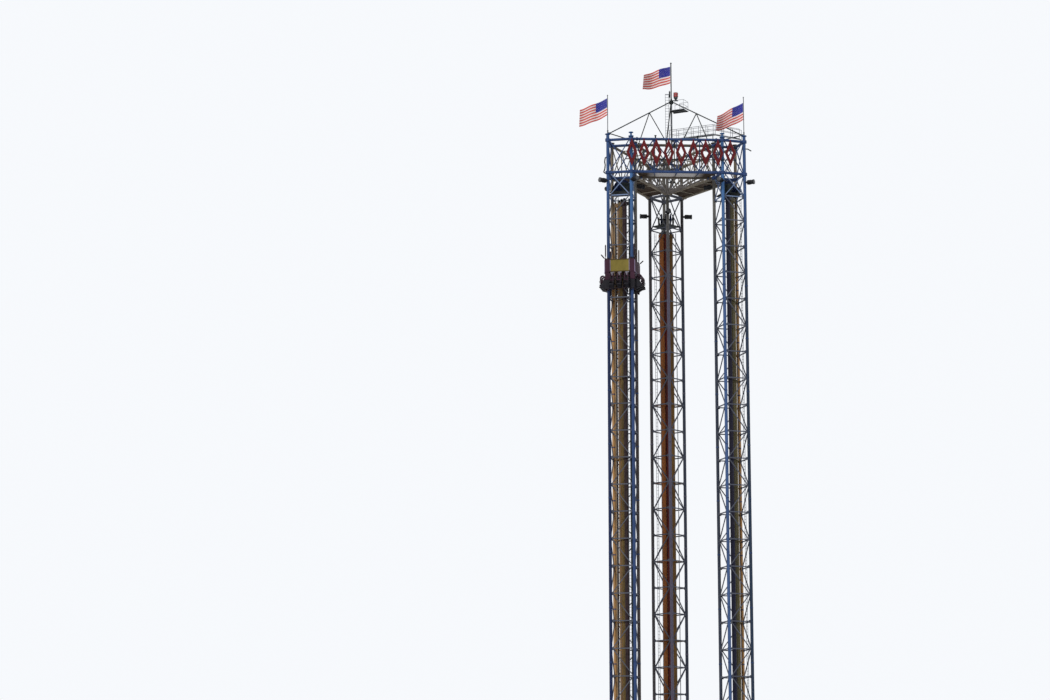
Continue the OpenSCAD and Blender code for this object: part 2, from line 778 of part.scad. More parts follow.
module restraints() {
    arm_u = 16;
    arm_w = 8;
    chest_d = 10;
    each_side() for (i = [-1:1]) translate([i * seat_pitch, ring_out + seat_gap, seat_rail_z]) {
        for (s = [-1, 1]) translate([s * arm_u, 0, 0]) seat_side_view(restraint_profile, arm_w);
        translate([-arm_u - arm_w / 2, pivot_out, rail_t / 2]) rotate([0, 90, 0])
            cylinder(d = pivot_d, h = 2 * arm_u + arm_w, $fn = 16);
        translate([-arm_u - arm_w / 2, 57, -46]) rotate([0, 90, 0])
            cylinder(d = chest_d, h = 2 * arm_u + arm_w, $fn = 16);
    }
}

color(steel_grey) at_tower(rear_dir) base_plate();  // rear_base_plate
color(steel_grey) at_tower(left_dir) base_plate();  // left_base_plate
color(steel_grey) at_tower(right_dir) base_plate();  // right_base_plate
color(steel_grey) at_tower(rear_dir) columns(undef);  // rear_columns
color(steel_blue) at_tower(left_dir) columns(90);  // left_columns
color(steel_blue) at_tower(right_dir) columns(-90);  // right_columns
color(lilac_grey) at_tower(rear_dir) lattice(rear_drop);  // rear_lattice
color(lilac_grey) at_tower(left_dir) lattice(0);  // left_lattice
color(lilac_grey) at_tower(right_dir) lattice(0);  // right_lattice
color("orange")  // rear_cylinders
    at_tower(rear_dir) cylinders(rear_tube_drop, rear_drop);
color("orange")  // left_cylinders
    at_tower(left_dir) cylinders(left_tube_drop, 0);
color("orange")  // right_cylinders
    at_tower(right_dir) cylinders(right_tube_drop, 0);
color("lightgrey") at_tower(rear_dir) tower_ladder(head_level - rear_drop);  // rear_ladder
color("lightgrey") at_tower(left_dir) tower_ladder(head_level);  // left_ladder
color("lightgrey") at_tower(right_dir) tower_ladder(head_level);  // right_ladder
color("black") at_tower(rear_dir) floodlights(rear_drop);  // rear_floodlights
color("black") at_tower(left_dir) floodlights(0);  // left_floodlights
color("black") at_tower(right_dir) floodlights(0);  // right_floodlights
color(steel_blue) at_truss(front_mid) truss();  // front_truss
color(beige_grey) at_truss(left_mid) truss();  // left_truss
color(beige_grey) at_truss(right_mid) truss();  // right_truss
color(dark_steel) at_truss(front_mid) walkway();  // front_walkway
color(dark_steel) at_truss(left_mid) walkway();  // left_walkway
color(dark_steel) at_truss(right_mid) walkway();  // right_walkway
color(beige_grey) crown_fan();
color("lightgrey") at_group() rotate([0, 0, right_dir]) mast_catwalk();
color(dark_steel) at_group() mast_hips();
color(dark_steel) at_group() mast();
color("lightgrey") at_group() mast_ladder();
color("grey") at_group() rotate([0, 0, right_dir]) mast_platform();
color("dimgrey") at_group() antenna();
color("firebrick") at_group() warning_beacon();
color("grey") at_group() rotate([0, 0, left_dir]) flagpole();  // left_flagpole
color("grey") at_group() rotate([0, 0, right_dir]) flagpole();  // right_flagpole
color("firebrick") at_group()  // left_flag
    flag_at(outer_corner(left_dir) + [0, 0, outer_cap_top + flagpole_h - 32], flagpole_d / 2, 20);
color("firebrick") at_group()  // right_flag
    flag_at(outer_corner(right_dir) + [0, 0, outer_cap_top + flagpole_h - 75], flagpole_d / 2, 35);
color("firebrick") at_group()  // mast_flag
    flag_at([0, 0, mast_top - 36], (mast_d - 6) / 2, 22);
color(dark_steel) at_group() sign_rails();
color(maroon) at_group() sign_lozenges();
color(dark_steel) on_left_tower() carriage_frame();  // left_carriage_frame
color(maroon) on_left_tower() carriage_panels();  // left_carriage_panels
color(mustard) on_left_tower() carriage_sign();  // left_carriage_sign
color("black") on_left_tower() seats();  // left_seats
color("dimgrey") on_left_tower() restraints();  // left_restraints
color(dark_steel) on_right_tower() carriage_frame();  // right_carriage_frame
color(maroon) on_right_tower() carriage_panels();  // right_carriage_panels
color(mustard) on_right_tower() carriage_sign();  // right_carriage_sign
color("black") on_right_tower() seats();  // right_seats
color("dimgrey") on_right_tower() restraints();  // right_restraints
color(dark_steel) on_rear_tower() carriage_frame();  // rear_carriage_frame
color(maroon) on_rear_tower() carriage_panels();  // rear_carriage_panels
color(mustard) on_rear_tower() carriage_sign();  // rear_carriage_sign
color("black") on_rear_tower() seats();  // rear_seats
color("dimgrey") on_rear_tower() restraints();  // rear_restraints
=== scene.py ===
"""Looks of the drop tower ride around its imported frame, in metres."""
import math

import bpy
from mathutils import Matrix, Vector


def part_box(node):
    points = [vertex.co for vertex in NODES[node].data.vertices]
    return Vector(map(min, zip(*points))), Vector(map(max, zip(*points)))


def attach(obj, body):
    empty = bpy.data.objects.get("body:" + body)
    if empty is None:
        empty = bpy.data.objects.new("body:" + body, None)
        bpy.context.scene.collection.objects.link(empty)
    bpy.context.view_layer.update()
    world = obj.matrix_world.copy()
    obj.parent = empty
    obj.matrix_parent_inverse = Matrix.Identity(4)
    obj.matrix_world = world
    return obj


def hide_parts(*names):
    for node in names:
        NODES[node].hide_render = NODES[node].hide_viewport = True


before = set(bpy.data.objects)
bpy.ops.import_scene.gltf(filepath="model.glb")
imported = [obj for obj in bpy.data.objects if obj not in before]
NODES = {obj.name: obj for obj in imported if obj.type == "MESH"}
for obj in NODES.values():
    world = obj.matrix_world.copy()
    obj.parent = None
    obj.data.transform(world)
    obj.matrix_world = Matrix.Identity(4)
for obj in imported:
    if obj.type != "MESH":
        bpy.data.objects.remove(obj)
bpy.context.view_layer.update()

# Driving sizes of the ride
TOWER_SIDE = 0.244
COLUMN_R = 0.0162
TOWER_DIRS = {"rear": 90, "left": 210, "right": 330}
TRUSS_MIDS = {"front": 270, "left": 150, "right": 30}
BAY = 0.2755
FIRST_LEVEL = 0.154
BAYS = 24
HEAD_LEVEL = FIRST_LEVEL + BAYS * BAY + 0.251
CHORD_LOW = HEAD_LEVEL + 0.243
CHORD_HIGH = CHORD_LOW + 0.347
DROP = {"rear": 0.110, "left": 0.0, "right": 0.0}
GROUP_R = 1.120 / math.sqrt(3)
HALF = TOWER_SIDE / 2
CORNER_R = HALF * math.sqrt(2)
GROUP_MIDDLE = Vector((0, -GROUP_R, 0))
LATTICE_T = 0.009
BASE_T = 0.012
SEAT_GAP = 0.0003
CHORD_R = 0.014
TUBE_R = 0.023
TUBE_PITCH = 0.048
TUBE_TOPS = {"left": CHORD_LOW - 0.300, "right": CHORD_LOW - 0.230, "rear": CHORD_LOW - 0.400}
OUTER_X = GROUP_R * math.cos(math.radians(30)) - CORNER_R * math.cos(math.radians(60))
OUTER_Y = -(GROUP_R / 2 + CORNER_R * math.sin(math.radians(60)))
INNER_X = (GROUP_R - CORNER_R) * math.cos(math.radians(30))
INNER_Y = -(GROUP_R / 2 - CORNER_R * math.sin(math.radians(30)))
TRUSS_PANELS = 4
RAIL_T = 0.009
RING_OUT = HALF + COLUMN_R + 0.0053 + RAIL_T
CARRIAGE_H = 0.310
HEADER_H = 0.130
HEADER_LOW = CARRIAGE_H - HEADER_H - 0.004
SEAT_RAIL_Z = 0.123
SEAT_PITCH = 0.076
CARRIAGE_Z = {"left": 6.025, "right": 0.080, "rear": 0.080}
APEX_Z = CHORD_HIGH + 0.535
COLLAR_TOP, SHELF_SUNK, SHELF_T, LAMP_BODY_H = 0.017, 0.001, 0.005, 0.036
BEACON_LENS_Z = APEX_Z + COLLAR_TOP - SHELF_SUNK + SHELF_T + SEAT_GAP + LAMP_BODY_H
FLAG_FLY, FLAG_HOIST = 0.305, 0.183
LOZENGES, LOZENGE_W, LOZENGE_H = 9, 0.112, 0.290
SIGN_LEN, SIGN_X = 1.150, 0.040
BOTH = (-1, 1)

# View of the photograph: a long lens near the ground that looks up at the crown
CAMERA_PLACE = (-2.993, -27.893, 0.16)
CAMERA_TURN = 3.04
CAMERA_PITCH = 11.0
LENS_MM = 92.2
SENSOR_MM = 36.0

# Finishes of this ride, as linear colours; some carry painted shade and painted reflection, as noted where they are
# used
BLUE = (0.028, 0.060, 0.165)
NAVY = (0.009, 0.020, 0.072)
MID_BLUE = (0.050, 0.100, 0.235)
DARK_BLUE_GREY = (0.017, 0.032, 0.062)
CROWN_BLUE = (0.058, 0.150, 0.335)
CROWN_DARK_BLUE = (0.038, 0.088, 0.225)
CROWN_GREY = (0.150, 0.142, 0.125)
PALE_BLUE = (0.165, 0.225, 0.360)
WARM_GREY = (0.070, 0.055, 0.052)
PURPLE_GREY = (0.125, 0.112, 0.160)
BROWN_GREY = (0.062, 0.056, 0.060)
SLATE = (0.034, 0.042, 0.066)
LATTICE_GREY = (0.088, 0.095, 0.122)
DARK_STEEL = (0.012, 0.018, 0.018)
TAN = (0.470, 0.255, 0.095)
CROWN_TAN = (0.215, 0.170, 0.115)
# Walkway decks: brown paint darkened with painted shade under the walkways
DECK_BROWN_AND_SHADE = (0.050, 0.026, 0.010)
# Brown-grey of the front truss's inner half: painted reflection of warm light from the ground
REFLECTED_GROUND_BROWN = (0.110, 0.090, 0.070)
RUST = (0.10, 0.055, 0.035)
ZINC = (0.26, 0.27, 0.29)
GRATING_PALE, GRATING_DARK = (0.62, 0.60, 0.60), (0.34, 0.31, 0.28)
CYLINDER_DIRT, CYLINDER_STREAK = (0.02, 0.012, 0.008), (0.03, 0.02, 0.015)
LAMP_GREY, BEACON_RED = (0.035, 0.036, 0.040), (0.45, 0.020, 0.015)
STRIPE_RED, STRIPE_WHITE = (0.62, 0.048, 0.030), (0.82, 0.70, 0.67)
CANTON_BLUE, STAR_WHITE, CLOTH_DIRT = (0.008, 0.010, 0.24), (0.50, 0.50, 0.66), (0.25, 0.22, 0.2)
FLOOR_PALE, FLOOR_DARK = (0.78, 0.78, 0.77), (0.72, 0.72, 0.72)
SKY_LIGHT, SKY_SEEN = (0.58, 0.60, 0.64), (0.93, 0.95, 0.98)
WORN_SHARE = 0.66

# Weathered paints: colour, share of it left in the darker patches, roughness
PAINTS = {
    "blue": (BLUE, 0.7, 0.5),
    "navy": (NAVY, 0.7, 0.5),
    "purple_grey": (PURPLE_GREY, 0.7, 0.5),
    "lattice": (LATTICE_GREY, 0.6, 0.5),
    # Beige of the rear girders: painted reflection of warm light from the ground on their undersides
    "beige": ((0.270, 0.230, 0.175), 0.6, 0.6),
    "crown_fan": ((0.200, 0.175, 0.158), 0.66, 0.6),
    "dark_steel": (DARK_STEEL, 0.6, 0.6),
    "carriage": ((0.022, 0.006, 0.010), 0.6, 0.55),
    "maroon": ((0.036, 0.003, 0.018), 0.7, 0.5),
    "mustard": ((0.195, 0.148, 0.022), 0.75, 0.5),
    "sign_edge": ((0.070, 0.040, 0.010), 0.7, 0.5),
    "deck": (DECK_BROWN_AND_SHADE, 0.45, 0.7),
    "sign_lozenges": ((0.105, 0.003, 0.005), 0.7, 0.45),
    "edging": ((0.170, 0.007, 0.009), 0.75, 0.45),
    "ladder": ((0.100, 0.110, 0.120), 0.6, 0.6),
    "pale_rail": ((0.250, 0.190, 0.300), 0.7, 0.5),
    "tray_tan": ((0.440, 0.290, 0.150), 0.66, 0.5),
    "tray_brown": ((0.050, 0.021, 0.006), 0.6, 0.5),
}
CROWN_PAINT = {"front": "blue", "left": "beige", "right": "beige"}
# Moulded skins: colour, roughness, fineness of the grain, sheen
MOULDINGS = {
    "head_rest": ((0.150, 0.140, 0.165), 0.6, 900, 0.0),
    "lamp_black": ((0.008, 0.008, 0.010), 0.55, 900, 0.0),
    "seat": ((0.0045, 0.0035, 0.0065), 0.6, 600, 0.0),
    "restraint": ((0.022, 0.004, 0.012), 0.6, 900, 0.05),
}
# Bare metals: colour, roughness, how metallic
STEELS = {
    "galvanised": (ZINC, 0.55, 0.7),
    "bright": ((0.45, 0.45, 0.47), 0.35, 1.0),
    "platform": (ZINC, 0.55, 0.7),
}
# Columns, as (colour, colour at the crown) pairs: the outer one, the two at the sides, the inner one. The colours
# differ partly as paint, such as the tan columns, and partly as painted shade: columns turned away from the light are
# given darker or greyer colours
COLUMN_COLOURS_AND_SHADE = {
    "left": ((NAVY, CROWN_DARK_BLUE), ((TAN, CROWN_TAN), (BLUE, CROWN_BLUE)), (WARM_GREY, CROWN_GREY)),
    "right": ((DARK_BLUE_GREY, CROWN_DARK_BLUE), ((MID_BLUE, CROWN_BLUE), (TAN, CROWN_TAN)), (SLATE, CROWN_GREY)),
    "rear": ((WARM_GREY, CROWN_GREY), ((SLATE, BROWN_GREY), (BROWN_GREY, BROWN_GREY)), (PURPLE_GREY, CROWN_GREY)),
}
# Drive cylinders, from a tower's -y side to its +y side
CYLINDER_COLOURS = {
    "left": ((0.260, 0.130, 0.030), (0.155, 0.096, 0.022), (0.022, 0.007, 0.010)),
    "right": ((0.004, 0.005, 0.026), (0.075, 0.062, 0.016), (0.130, 0.108, 0.036)),
    "rear": ((0.180, 0.092, 0.020), (0.100, 0.006, 0.004), (0.330, 0.105, 0.020)),
}
# Construction nodes without a finish of their own name, by the first ending that fits
NODE_FINISH = {
    "mast_ladder": "galvanised", "mast_catwalk": "galvanised", "mast_platform": "platform",
    "sign_rails": "dark_steel", "mast_hips": "dark_steel", "mast": "dark_steel", "antenna": "dark_steel",
    "_walkway": "deck", "_truss": "beige", "_flagpole": "ladder", "_base_plate": "purple_grey",
    "_lattice": "lattice", "_ladder": "ladder", "_floodlights": "lamp_black",
    "_carriage_frame": "carriage", "_carriage_panels": "maroon", "_carriage_sign": "mustard",
    "_seats": "seat", "_restraints": "restraint", "_flag": "flag",
}
# Trays and conduit: tower, x and y from its middle as the photograph sees it, width, thickness, finish
RISERS = {
    "left_tan_tray": ("left", -0.067, 0.116, 0.014, 0.004, "tray_tan"),
    "left_brown_tray": ("left", -0.052, 0.116, 0.015, 0.004, "tray_brown"),
    "left_black_tray": ("left", 0.0695, -0.086, 0.016, 0.0024, "dark_steel"),
    "right_tan_tray": ("right", 0.056, 0.118, 0.015, 0.004, "tray_tan"),
    "right_brown_tray": ("right", 0.0712, 0.118, 0.010, 0.004, "tray_brown"),
    "rear_conduit": ("rear", 0.103, 0.0, 0.008, 0.008, "galvanised"),
}
# Flags: drop from the pole's head, distance from the pole, then droop, fold and ripple in degrees, and phase
POLE_FLAGS = {"left": (0.038, 0.005, (24, 34, 38, 0.4)), "right": (0.066, 0.005, (29, 52, 44, 1.7))}
MAST_WIND = (20, 52, 36, 2.6)
# Bolt heads, nuts and screws: width across their corners, height
HEX_SIZES = {
    "plate_bolt": (0.0036, 0.0013), "foot_nut": (0.0076, 0.0040), "axle_nut": (0.0080, 0.0036),
    "axle_cap": (0.026, 0.006), "yoke_bolt": (0.0080, 0.0030), "flange_bolt": (0.0044, 0.0020),
    "roller_nut": (0.0064, 0.0026), "panel_screw": (0.0036, 0.0011), "guard_screw": (0.0036, 0.0011),
    "sign_screw": (0.0034, 0.0010),
}
# Course of the cable loop beside the left outer column, as (x, z) steps
CABLE_LOOP = ((-0.015, 0.0), (-0.028, -0.010), (-0.034, -0.050), (-0.028, -0.085), (-0.033, -0.130),
              (-0.044, -0.158), (-0.030, -0.172), (-0.015, -0.174))


# Geometry helpers

def deselect():
    """Leaves nothing selected, so an operator acts on the new piece alone."""
    bpy.ops.object.select_all(action="DESELECT")


def active(name):
    """Names the primitive just added and returns it."""
    obj = bpy.context.object
    obj.name = obj.data.name = name
    return obj


def select_only(obj):
    deselect()
    obj.select_set(True)
    bpy.context.view_layer.objects.active = obj


def settle(obj):
    """Moves an object's place into its mesh."""
    select_only(obj)
    bpy.ops.object.transform_apply(location=True, rotation=True, scale=True)
    return obj


def add_block(name, centre, size, turn=0.0, edge=0.0):
    """A block at its size and place, with its edges eased by edge metres."""
    deselect()
    bpy.ops.mesh.primitive_cube_add(size=1, location=centre, rotation=(0, 0, turn))
    obj = active(name)
    obj.scale = size
    settle(obj)
    return ease(obj, edge) if edge else obj


def ease(obj, width, segments=1):
    """Bevels every sharp edge of a piece."""
    select_only(obj)
    mod = obj.modifiers.new("ease", "BEVEL")
    mod.width = width
    mod.segments = segments
    mod.limit_method = "ANGLE"
    bpy.ops.object.modifier_apply(modifier=mod.name)
    return obj


def add_rod(name, start, end, radius, sides=8, end_radius=None):
    """A round bar between two points, with flat ends."""
    a, b = Vector(start), Vector(end)
    deselect()
    bpy.ops.mesh.primitive_cone_add(
        vertices=sides, radius1=radius, radius2=radius if end_radius is None else end_radius,
        depth=(b - a).length, location=(a + b) / 2,
        rotation=(b - a).to_track_quat("Z", "Y").to_euler())
    obj = settle(active(name))
    bpy.ops.object.shade_smooth_by_angle(angle=math.radians(40))
    return obj


def add_axle(name, half, z, radius, sides):
    """A round bar along y, from -half to half."""
    return add_rod(name, (0, -half, z), (0, half, z), radius, sides)


def add_ring(name, centre, radius, wire, sides, wire_sides=8, tilt=(0, 0, 0)):
    """A round ring whose axis is z until tilt turns it, in degrees."""
    deselect()
    bpy.ops.mesh.primitive_torus_add(major_segments=sides, minor_segments=wire_sides, major_radius=radius,
                                     minor_radius=wire, location=centre, rotation=[math.radians(t) for t in tilt])
    return settle(active(name))


def add_hex(name, centre, axis):
    """A bolt head, nut or screw of HEX_SIZES that stands on centre along axis."""
    width, height = HEX_SIZES[name]
    start = Vector(centre)
    return add_rod(name, start, start + Vector(axis).normalized() * height, width / 2, sides=6)


def trim(obj, point, normal):
    """Cuts off what lies beyond a plane, on its normal's side, and closes the cut."""
    select_only(obj)
    bpy.ops.object.mode_set(mode="EDIT")
    bpy.ops.mesh.select_all(action="SELECT")
    bpy.ops.mesh.bisect(plane_co=point, plane_no=normal, use_fill=True, clear_outer=True)
    bpy.ops.object.mode_set(mode="OBJECT")


def clipped_plate(name, centre, size, clip):
    """An upright plate in the xz plane with its four corners cut off at 45 degrees."""
    plate = add_block(name, centre, size)
    for sx in BOTH:
        for sz in BOTH:
            corner = Vector(centre) + Vector((sx * size[0] / 2, 0, sz * size[2] / 2))
            trim(plate, corner - Vector((sx * clip, 0, 0)), (sx, 0, sz))
    return plate


def bent_bar(name, points, radius):
    """A bar bent along points, with a ball at each bend."""
    parts = [add_rod(name, a, b, radius, sides=10) for a, b in zip(points, points[1:])]
    for point in points[1:-1]:
        deselect()
        bpy.ops.mesh.primitive_uv_sphere_add(segments=12, ring_count=8, radius=radius, location=point)
        parts.append(settle(active(name)))
    return join(parts, name)


def join(parts, name):
    """Joins pieces into one named piece."""
    deselect()
    for part in parts:
        part.select_set(True)
    bpy.context.view_layer.objects.active = parts[0]
    if len(parts) > 1:
        bpy.ops.object.join()
    return active(name)


def copies(obj, places, name):
    """One joined piece made of obj at each matrix of places; obj itself is used up."""
    made = []
    for place in places:
        twin = obj.copy()
        twin.data = obj.data.copy()
        bpy.context.collection.objects.link(twin)
        twin.data.transform(place)
        made.append(twin)
    bpy.data.objects.remove(obj)
    return join(made, name)


def finish_piece(obj, finish, body="structure"):
    """Gives a piece its material and the body it rides on."""
    obj.data.materials.clear()
    obj.data.materials.append(MATERIALS[finish])
    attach(obj, body)


def set_out(parts, places, name, finish, body="structure"):
    """Joins parts, repeats them at each place and finishes them all as one piece."""
    finish_piece(copies(join(parts, f"{name}_pattern"), places, name), finish, body)


def fit_carriage(tower, parts, places, name, finish):
    """Sets parts out as one piece that rides on a tower's carriage."""
    set_out(parts, places, f"{tower}_{name}", finish, f"{tower}_carriage")


# Frames of reference of the ride

def shift(x, y, z):
    return Matrix.Translation((x, y, z))


def turn_z(degrees):
    return Matrix.Rotation(math.radians(degrees), 4, "Z")


def tower_frame(tower):
    """Tower's own frame: x outwards from the middle of the group."""
    return Matrix.Translation(GROUP_MIDDLE) @ turn_z(TOWER_DIRS[tower]) @ shift(GROUP_R, 0, 0)


def square_frame(tower, x, y):
    """A frame x and y from a tower's middle, square to the photograph's view."""
    return tower_frame(tower) @ turn_z(-TOWER_DIRS[tower]) @ shift(x, y, 0)


def face_frame(tower, k):
    """A lattice side's frame: x along the face, -y outwards, with y = 0 in the side's plane."""
    return tower_frame(tower) @ turn_z(45 + 90 * k + 90) @ shift(0, -HALF, 0)


def column_frames(tower):
    """A frame on each column's axis, the outer column first."""
    return [tower_frame(tower) @ turn_z(90 * k) @ shift(CORNER_R, 0, 0) for k in range(4)]


def cylinder_frames(tower, *heights):
    """A frame on each drive cylinder's axis at each height."""
    return [tower_frame(tower) @ shift(0, i * TUBE_PITCH, z) for i in (-1, 0, 1) for z in heights]


def truss_frame(truss):
    """Truss's own frame: x along it, -y outwards, from the middle of the group."""
    return Matrix.Translation(GROUP_MIDDLE) @ turn_z(TRUSS_MIDS[truss] + 90)


def carriage_sides(tower, sides=range(4)):
    """Frames of a carriage's sides: x along, y outwards, z from the lowest rail. Sides 0 and 2 carry the signs."""
    return [tower_frame(tower) @ turn_z(45 + 90 * k - 90) @ shift(0, 0, CARRIAGE_Z[tower]) for k in sides]


def seat_frames(tower, y=0.0):
    """A frame in the middle of each of a carriage's twelve seats."""
    return [side @ shift(i * SEAT_PITCH, y, 0) for side in carriage_sides(tower) for i in (-1, 0, 1)]


def levels(tower):
    """Heights of a tower's horizontals, lowest first."""
    drop = DROP[tower]
    low = [FIRST_LEVEL + i * BAY - drop for i in range(1 if drop else 0, BAYS + 1)]
    return low + [HEAD_LEVEL - drop, CHORD_LOW, CHORD_HIGH]


def riser_ends(tower):
    """Lowest and highest point of what runs up inside a tower."""
    return BASE_T, HEAD_LEVEL - DROP[tower] - 0.03


# Material helpers

def new_material(name):
    mat = bpy.data.materials.new(name)
    mat.use_nodes = True
    return mat, mat.node_tree


def feed(tree, socket, value):
    """Gives a socket a number, a vector, a colour or another node's output."""
    if isinstance(value, bpy.types.NodeSocket):
        tree.links.new(value, socket)
    else:
        socket.default_value = (*value, 1.0) if socket.type == "RGBA" else value


def add_node(tree, kind, inputs):
    """A shader node of one kind, with its inputs by name."""
    node = tree.nodes.new(kind)
    for key, value in inputs.items():
        feed(tree, node.inputs[key], value)
    return node


def set_surface(tree, inputs):
    """Sets or links inputs of the surface shader by name."""
    for key, value in inputs.items():
        feed(tree, tree.nodes["Principled BSDF"].inputs[key], value)


def object_coordinates(tree):
    return tree.nodes.new("ShaderNodeTexCoord").outputs["Object"]


def object_pattern(tree, scale):
    """Object coordinates stretched by scale, for a pattern that stays on the piece."""
    inputs = {"Scale": scale, "Vector": object_coordinates(tree)}
    return add_node(tree, "ShaderNodeMapping", inputs).outputs["Vector"]


def own_place(tree, tower=None):
    """X, Y and Z of a point, in a tower's own frame where one is named."""
    coords = object_coordinates(tree)
    if tower:
        mapping = tree.nodes.new("ShaderNodeMapping")
        mapping.vector_type = "TEXTURE"
        mapping.inputs["Location"].default_value = tower_frame(tower).translation
        mapping.inputs["Rotation"].default_value = (0, 0, math.radians(TOWER_DIRS[tower]))
        feed(tree, mapping.inputs["Vector"], coords)
        coords = mapping.outputs["Vector"]
    return add_node(tree, "ShaderNodeSeparateXYZ", {"Vector": coords}).outputs


def noise(tree, scale, detail=3.0, rough=0.55):
    """Noise on stretched object coordinates."""
    inputs = {"Scale": 1.0, "Detail": detail, "Roughness": rough, "Vector": object_pattern(tree, scale)}
    return add_node(tree, "ShaderNodeTexNoise", inputs).outputs["Fac"]


def grain_cells(tree, scale):
    """Fine cells on object coordinates."""
    inputs = {"Vector": object_pattern(tree, (scale, scale, scale))}
    return add_node(tree, "ShaderNodeTexVoronoi", inputs).outputs["Distance"]


def ramp(tree, fac, low, high, a=0.0, b=1.0):
    """Maps a range of fac onto a to b."""
    inputs = {"Value": fac, "From Min": low, "From Max": high, "To Min": a, "To Max": b}
    return add_node(tree, "ShaderNodeMapRange", inputs).outputs["Result"]


def past(tree, value, place, band):
    """Nought before a place and one past it."""
    return ramp(tree, value, place - band, place + band)


def mix(tree, fac, one, two):
    """Mixes two colours, each a tuple or a socket."""
    node = tree.nodes.new("ShaderNodeMix")
    node.data_type = "RGBA"
    for key, value in (("Factor_Float", fac), ("A_Color", one), ("B_Color", two)):
        feed(tree, next(socket for socket in node.inputs if socket.identifier == key), value)
    return next(socket for socket in node.outputs if socket.identifier == "Result_Color")


def calc(tree, operation, *values):
    """Result of a math node whose inputs are sockets or numbers."""
    node = tree.nodes.new("ShaderNodeMath")
    node.operation = operation
    for socket, value in zip(node.inputs, values):
        feed(tree, socket, value)
    return node.outputs["Value"]


def bump(tree, height, strength, distance):
    """Normal raised by a pattern, for grain too fine to model."""
    inputs = {"Strength": strength, "Distance": distance, "Height": height}
    return add_node(tree, "ShaderNodeBump", inputs).outputs["Normal"]


def part_of(colour, share):
    """A colour brought down to a share of itself."""
    return tuple(c * share for c in colour)


def colour_so_far(tree):
    return tree.nodes["Principled BSDF"].inputs["Base Color"].links[0].from_socket


# Finishes

def weathered_paint(name, colour, shade, rough):
    """Gloss paint outdoors: patchy tone, rain streaks down the piece, small rusty chips and orange peel."""
    mat, tree = new_material(name)
    patches = ramp(tree, noise(tree, (9, 9, 5)), 0.35, 0.68)
    tone = mix(tree, patches, colour, part_of(colour, shade))
    streaks = ramp(tree, noise(tree, (160, 160, 6), detail=2.0), 0.56, 0.8, 0.0, 0.55)
    streaked = mix(tree, streaks, tone, tuple(c * 0.35 + 0.006 for c in colour))
    chips = ramp(tree, noise(tree, (120, 120, 90), detail=5.0, rough=0.7), 0.70, 0.73)
    set_surface(tree, {"Base Color": mix(tree, chips, streaked, RUST),
                       "Roughness": ramp(tree, patches, 0.0, 1.0, rough, rough + 0.18), "Specular IOR Level": 0.22,
                       "Normal": bump(tree, noise(tree, (900, 900, 900), detail=1.0), 0.08, 0.0006)})
    return mat


def metal(name, colour, rough, metallic):
    """Galvanised or bare steel with spangle and dull patches."""
    mat, tree = new_material(name)
    base = mix(tree, ramp(tree, grain_cells(tree, 220), 0.1, 0.7), colour, part_of(colour, 0.78))
    dull = ramp(tree, noise(tree, (20, 20, 8)), 0.45, 0.7)
    set_surface(tree, {"Base Color": mix(tree, dull, base, part_of(colour, 0.6)),
                       "Roughness": ramp(tree, dull, 0.0, 1.0, rough, rough + 0.2), "Metallic": metallic,
                       "Normal": bump(tree, noise(tree, (500, 500, 500)), 0.06, 0.0004)})
    return mat


def moulded(name, colour, rough, grain, sheen):
    """Moulded plastic or foam skin with a fine grain."""
    mat, tree = new_material(name)
    patches = ramp(tree, noise(tree, (30, 30, 30)), 0.35, 0.7)
    set_surface(tree, {"Base Color": mix(tree, patches, colour, tuple(c * 1.5 + 0.003 for c in colour)),
                       "Roughness": ramp(tree, patches, 0.0, 1.0, rough, rough + 0.15), "Sheen Weight": sheen,
                       "Specular IOR Level": 0.25, "Normal": bump(tree, grain_cells(tree, grain), 0.2, 0.0005)})
    return mat


def ribbed_lens(name, colour, rough):
    """Moulded lens with prismatic ribs."""
    mat, tree = new_material(name)
    wave = add_node(tree, "ShaderNodeTexWave", {"Scale": 1.0, "Vector": object_pattern(tree, (60, 60, 60))})
    wave.bands_direction = "Z"
    ribs = wave.outputs["Fac"]
    set_surface(tree, {"Base Color": mix(tree, ribs, colour, part_of(colour, 0.6)), "Roughness": rough,
                       "Coat Weight": 0.5, "Normal": bump(tree, ribs, 0.3, 0.001)})
    return mat


def cylinder_paint(tower, colours):
    """Drive cylinders in a row, each in its own colour."""
    mat, tree = new_material(f"{tower}_cylinder_paint")
    across, edge = own_place(tree, tower)["Y"], TUBE_PITCH / 2
    paint = mix(tree, past(tree, across, -edge, 0.0005), colours[0], colours[1])
    paint = mix(tree, past(tree, across, edge, 0.0005), paint, colours[2])
    patches = ramp(tree, noise(tree, (12, 12, 3)), 0.35, 0.7, 0.0, 0.5)
    dark = mix(tree, patches, paint, CYLINDER_DIRT)
    streaks = ramp(tree, noise(tree, (150, 150, 5), detail=2.0), 0.6, 0.85, 0.0, 0.6)
    set_surface(tree, {"Base Color": mix(tree, streaks, dark, CYLINDER_STREAK),
                       "Roughness": ramp(tree, patches, 0.0, 0.5, 0.42, 0.6), "Specular IOR Level": 0.25,
                       "Normal": bump(tree, noise(tree, (700, 700, 700), detail=1.0), 0.08, 0.0006)})
    return mat


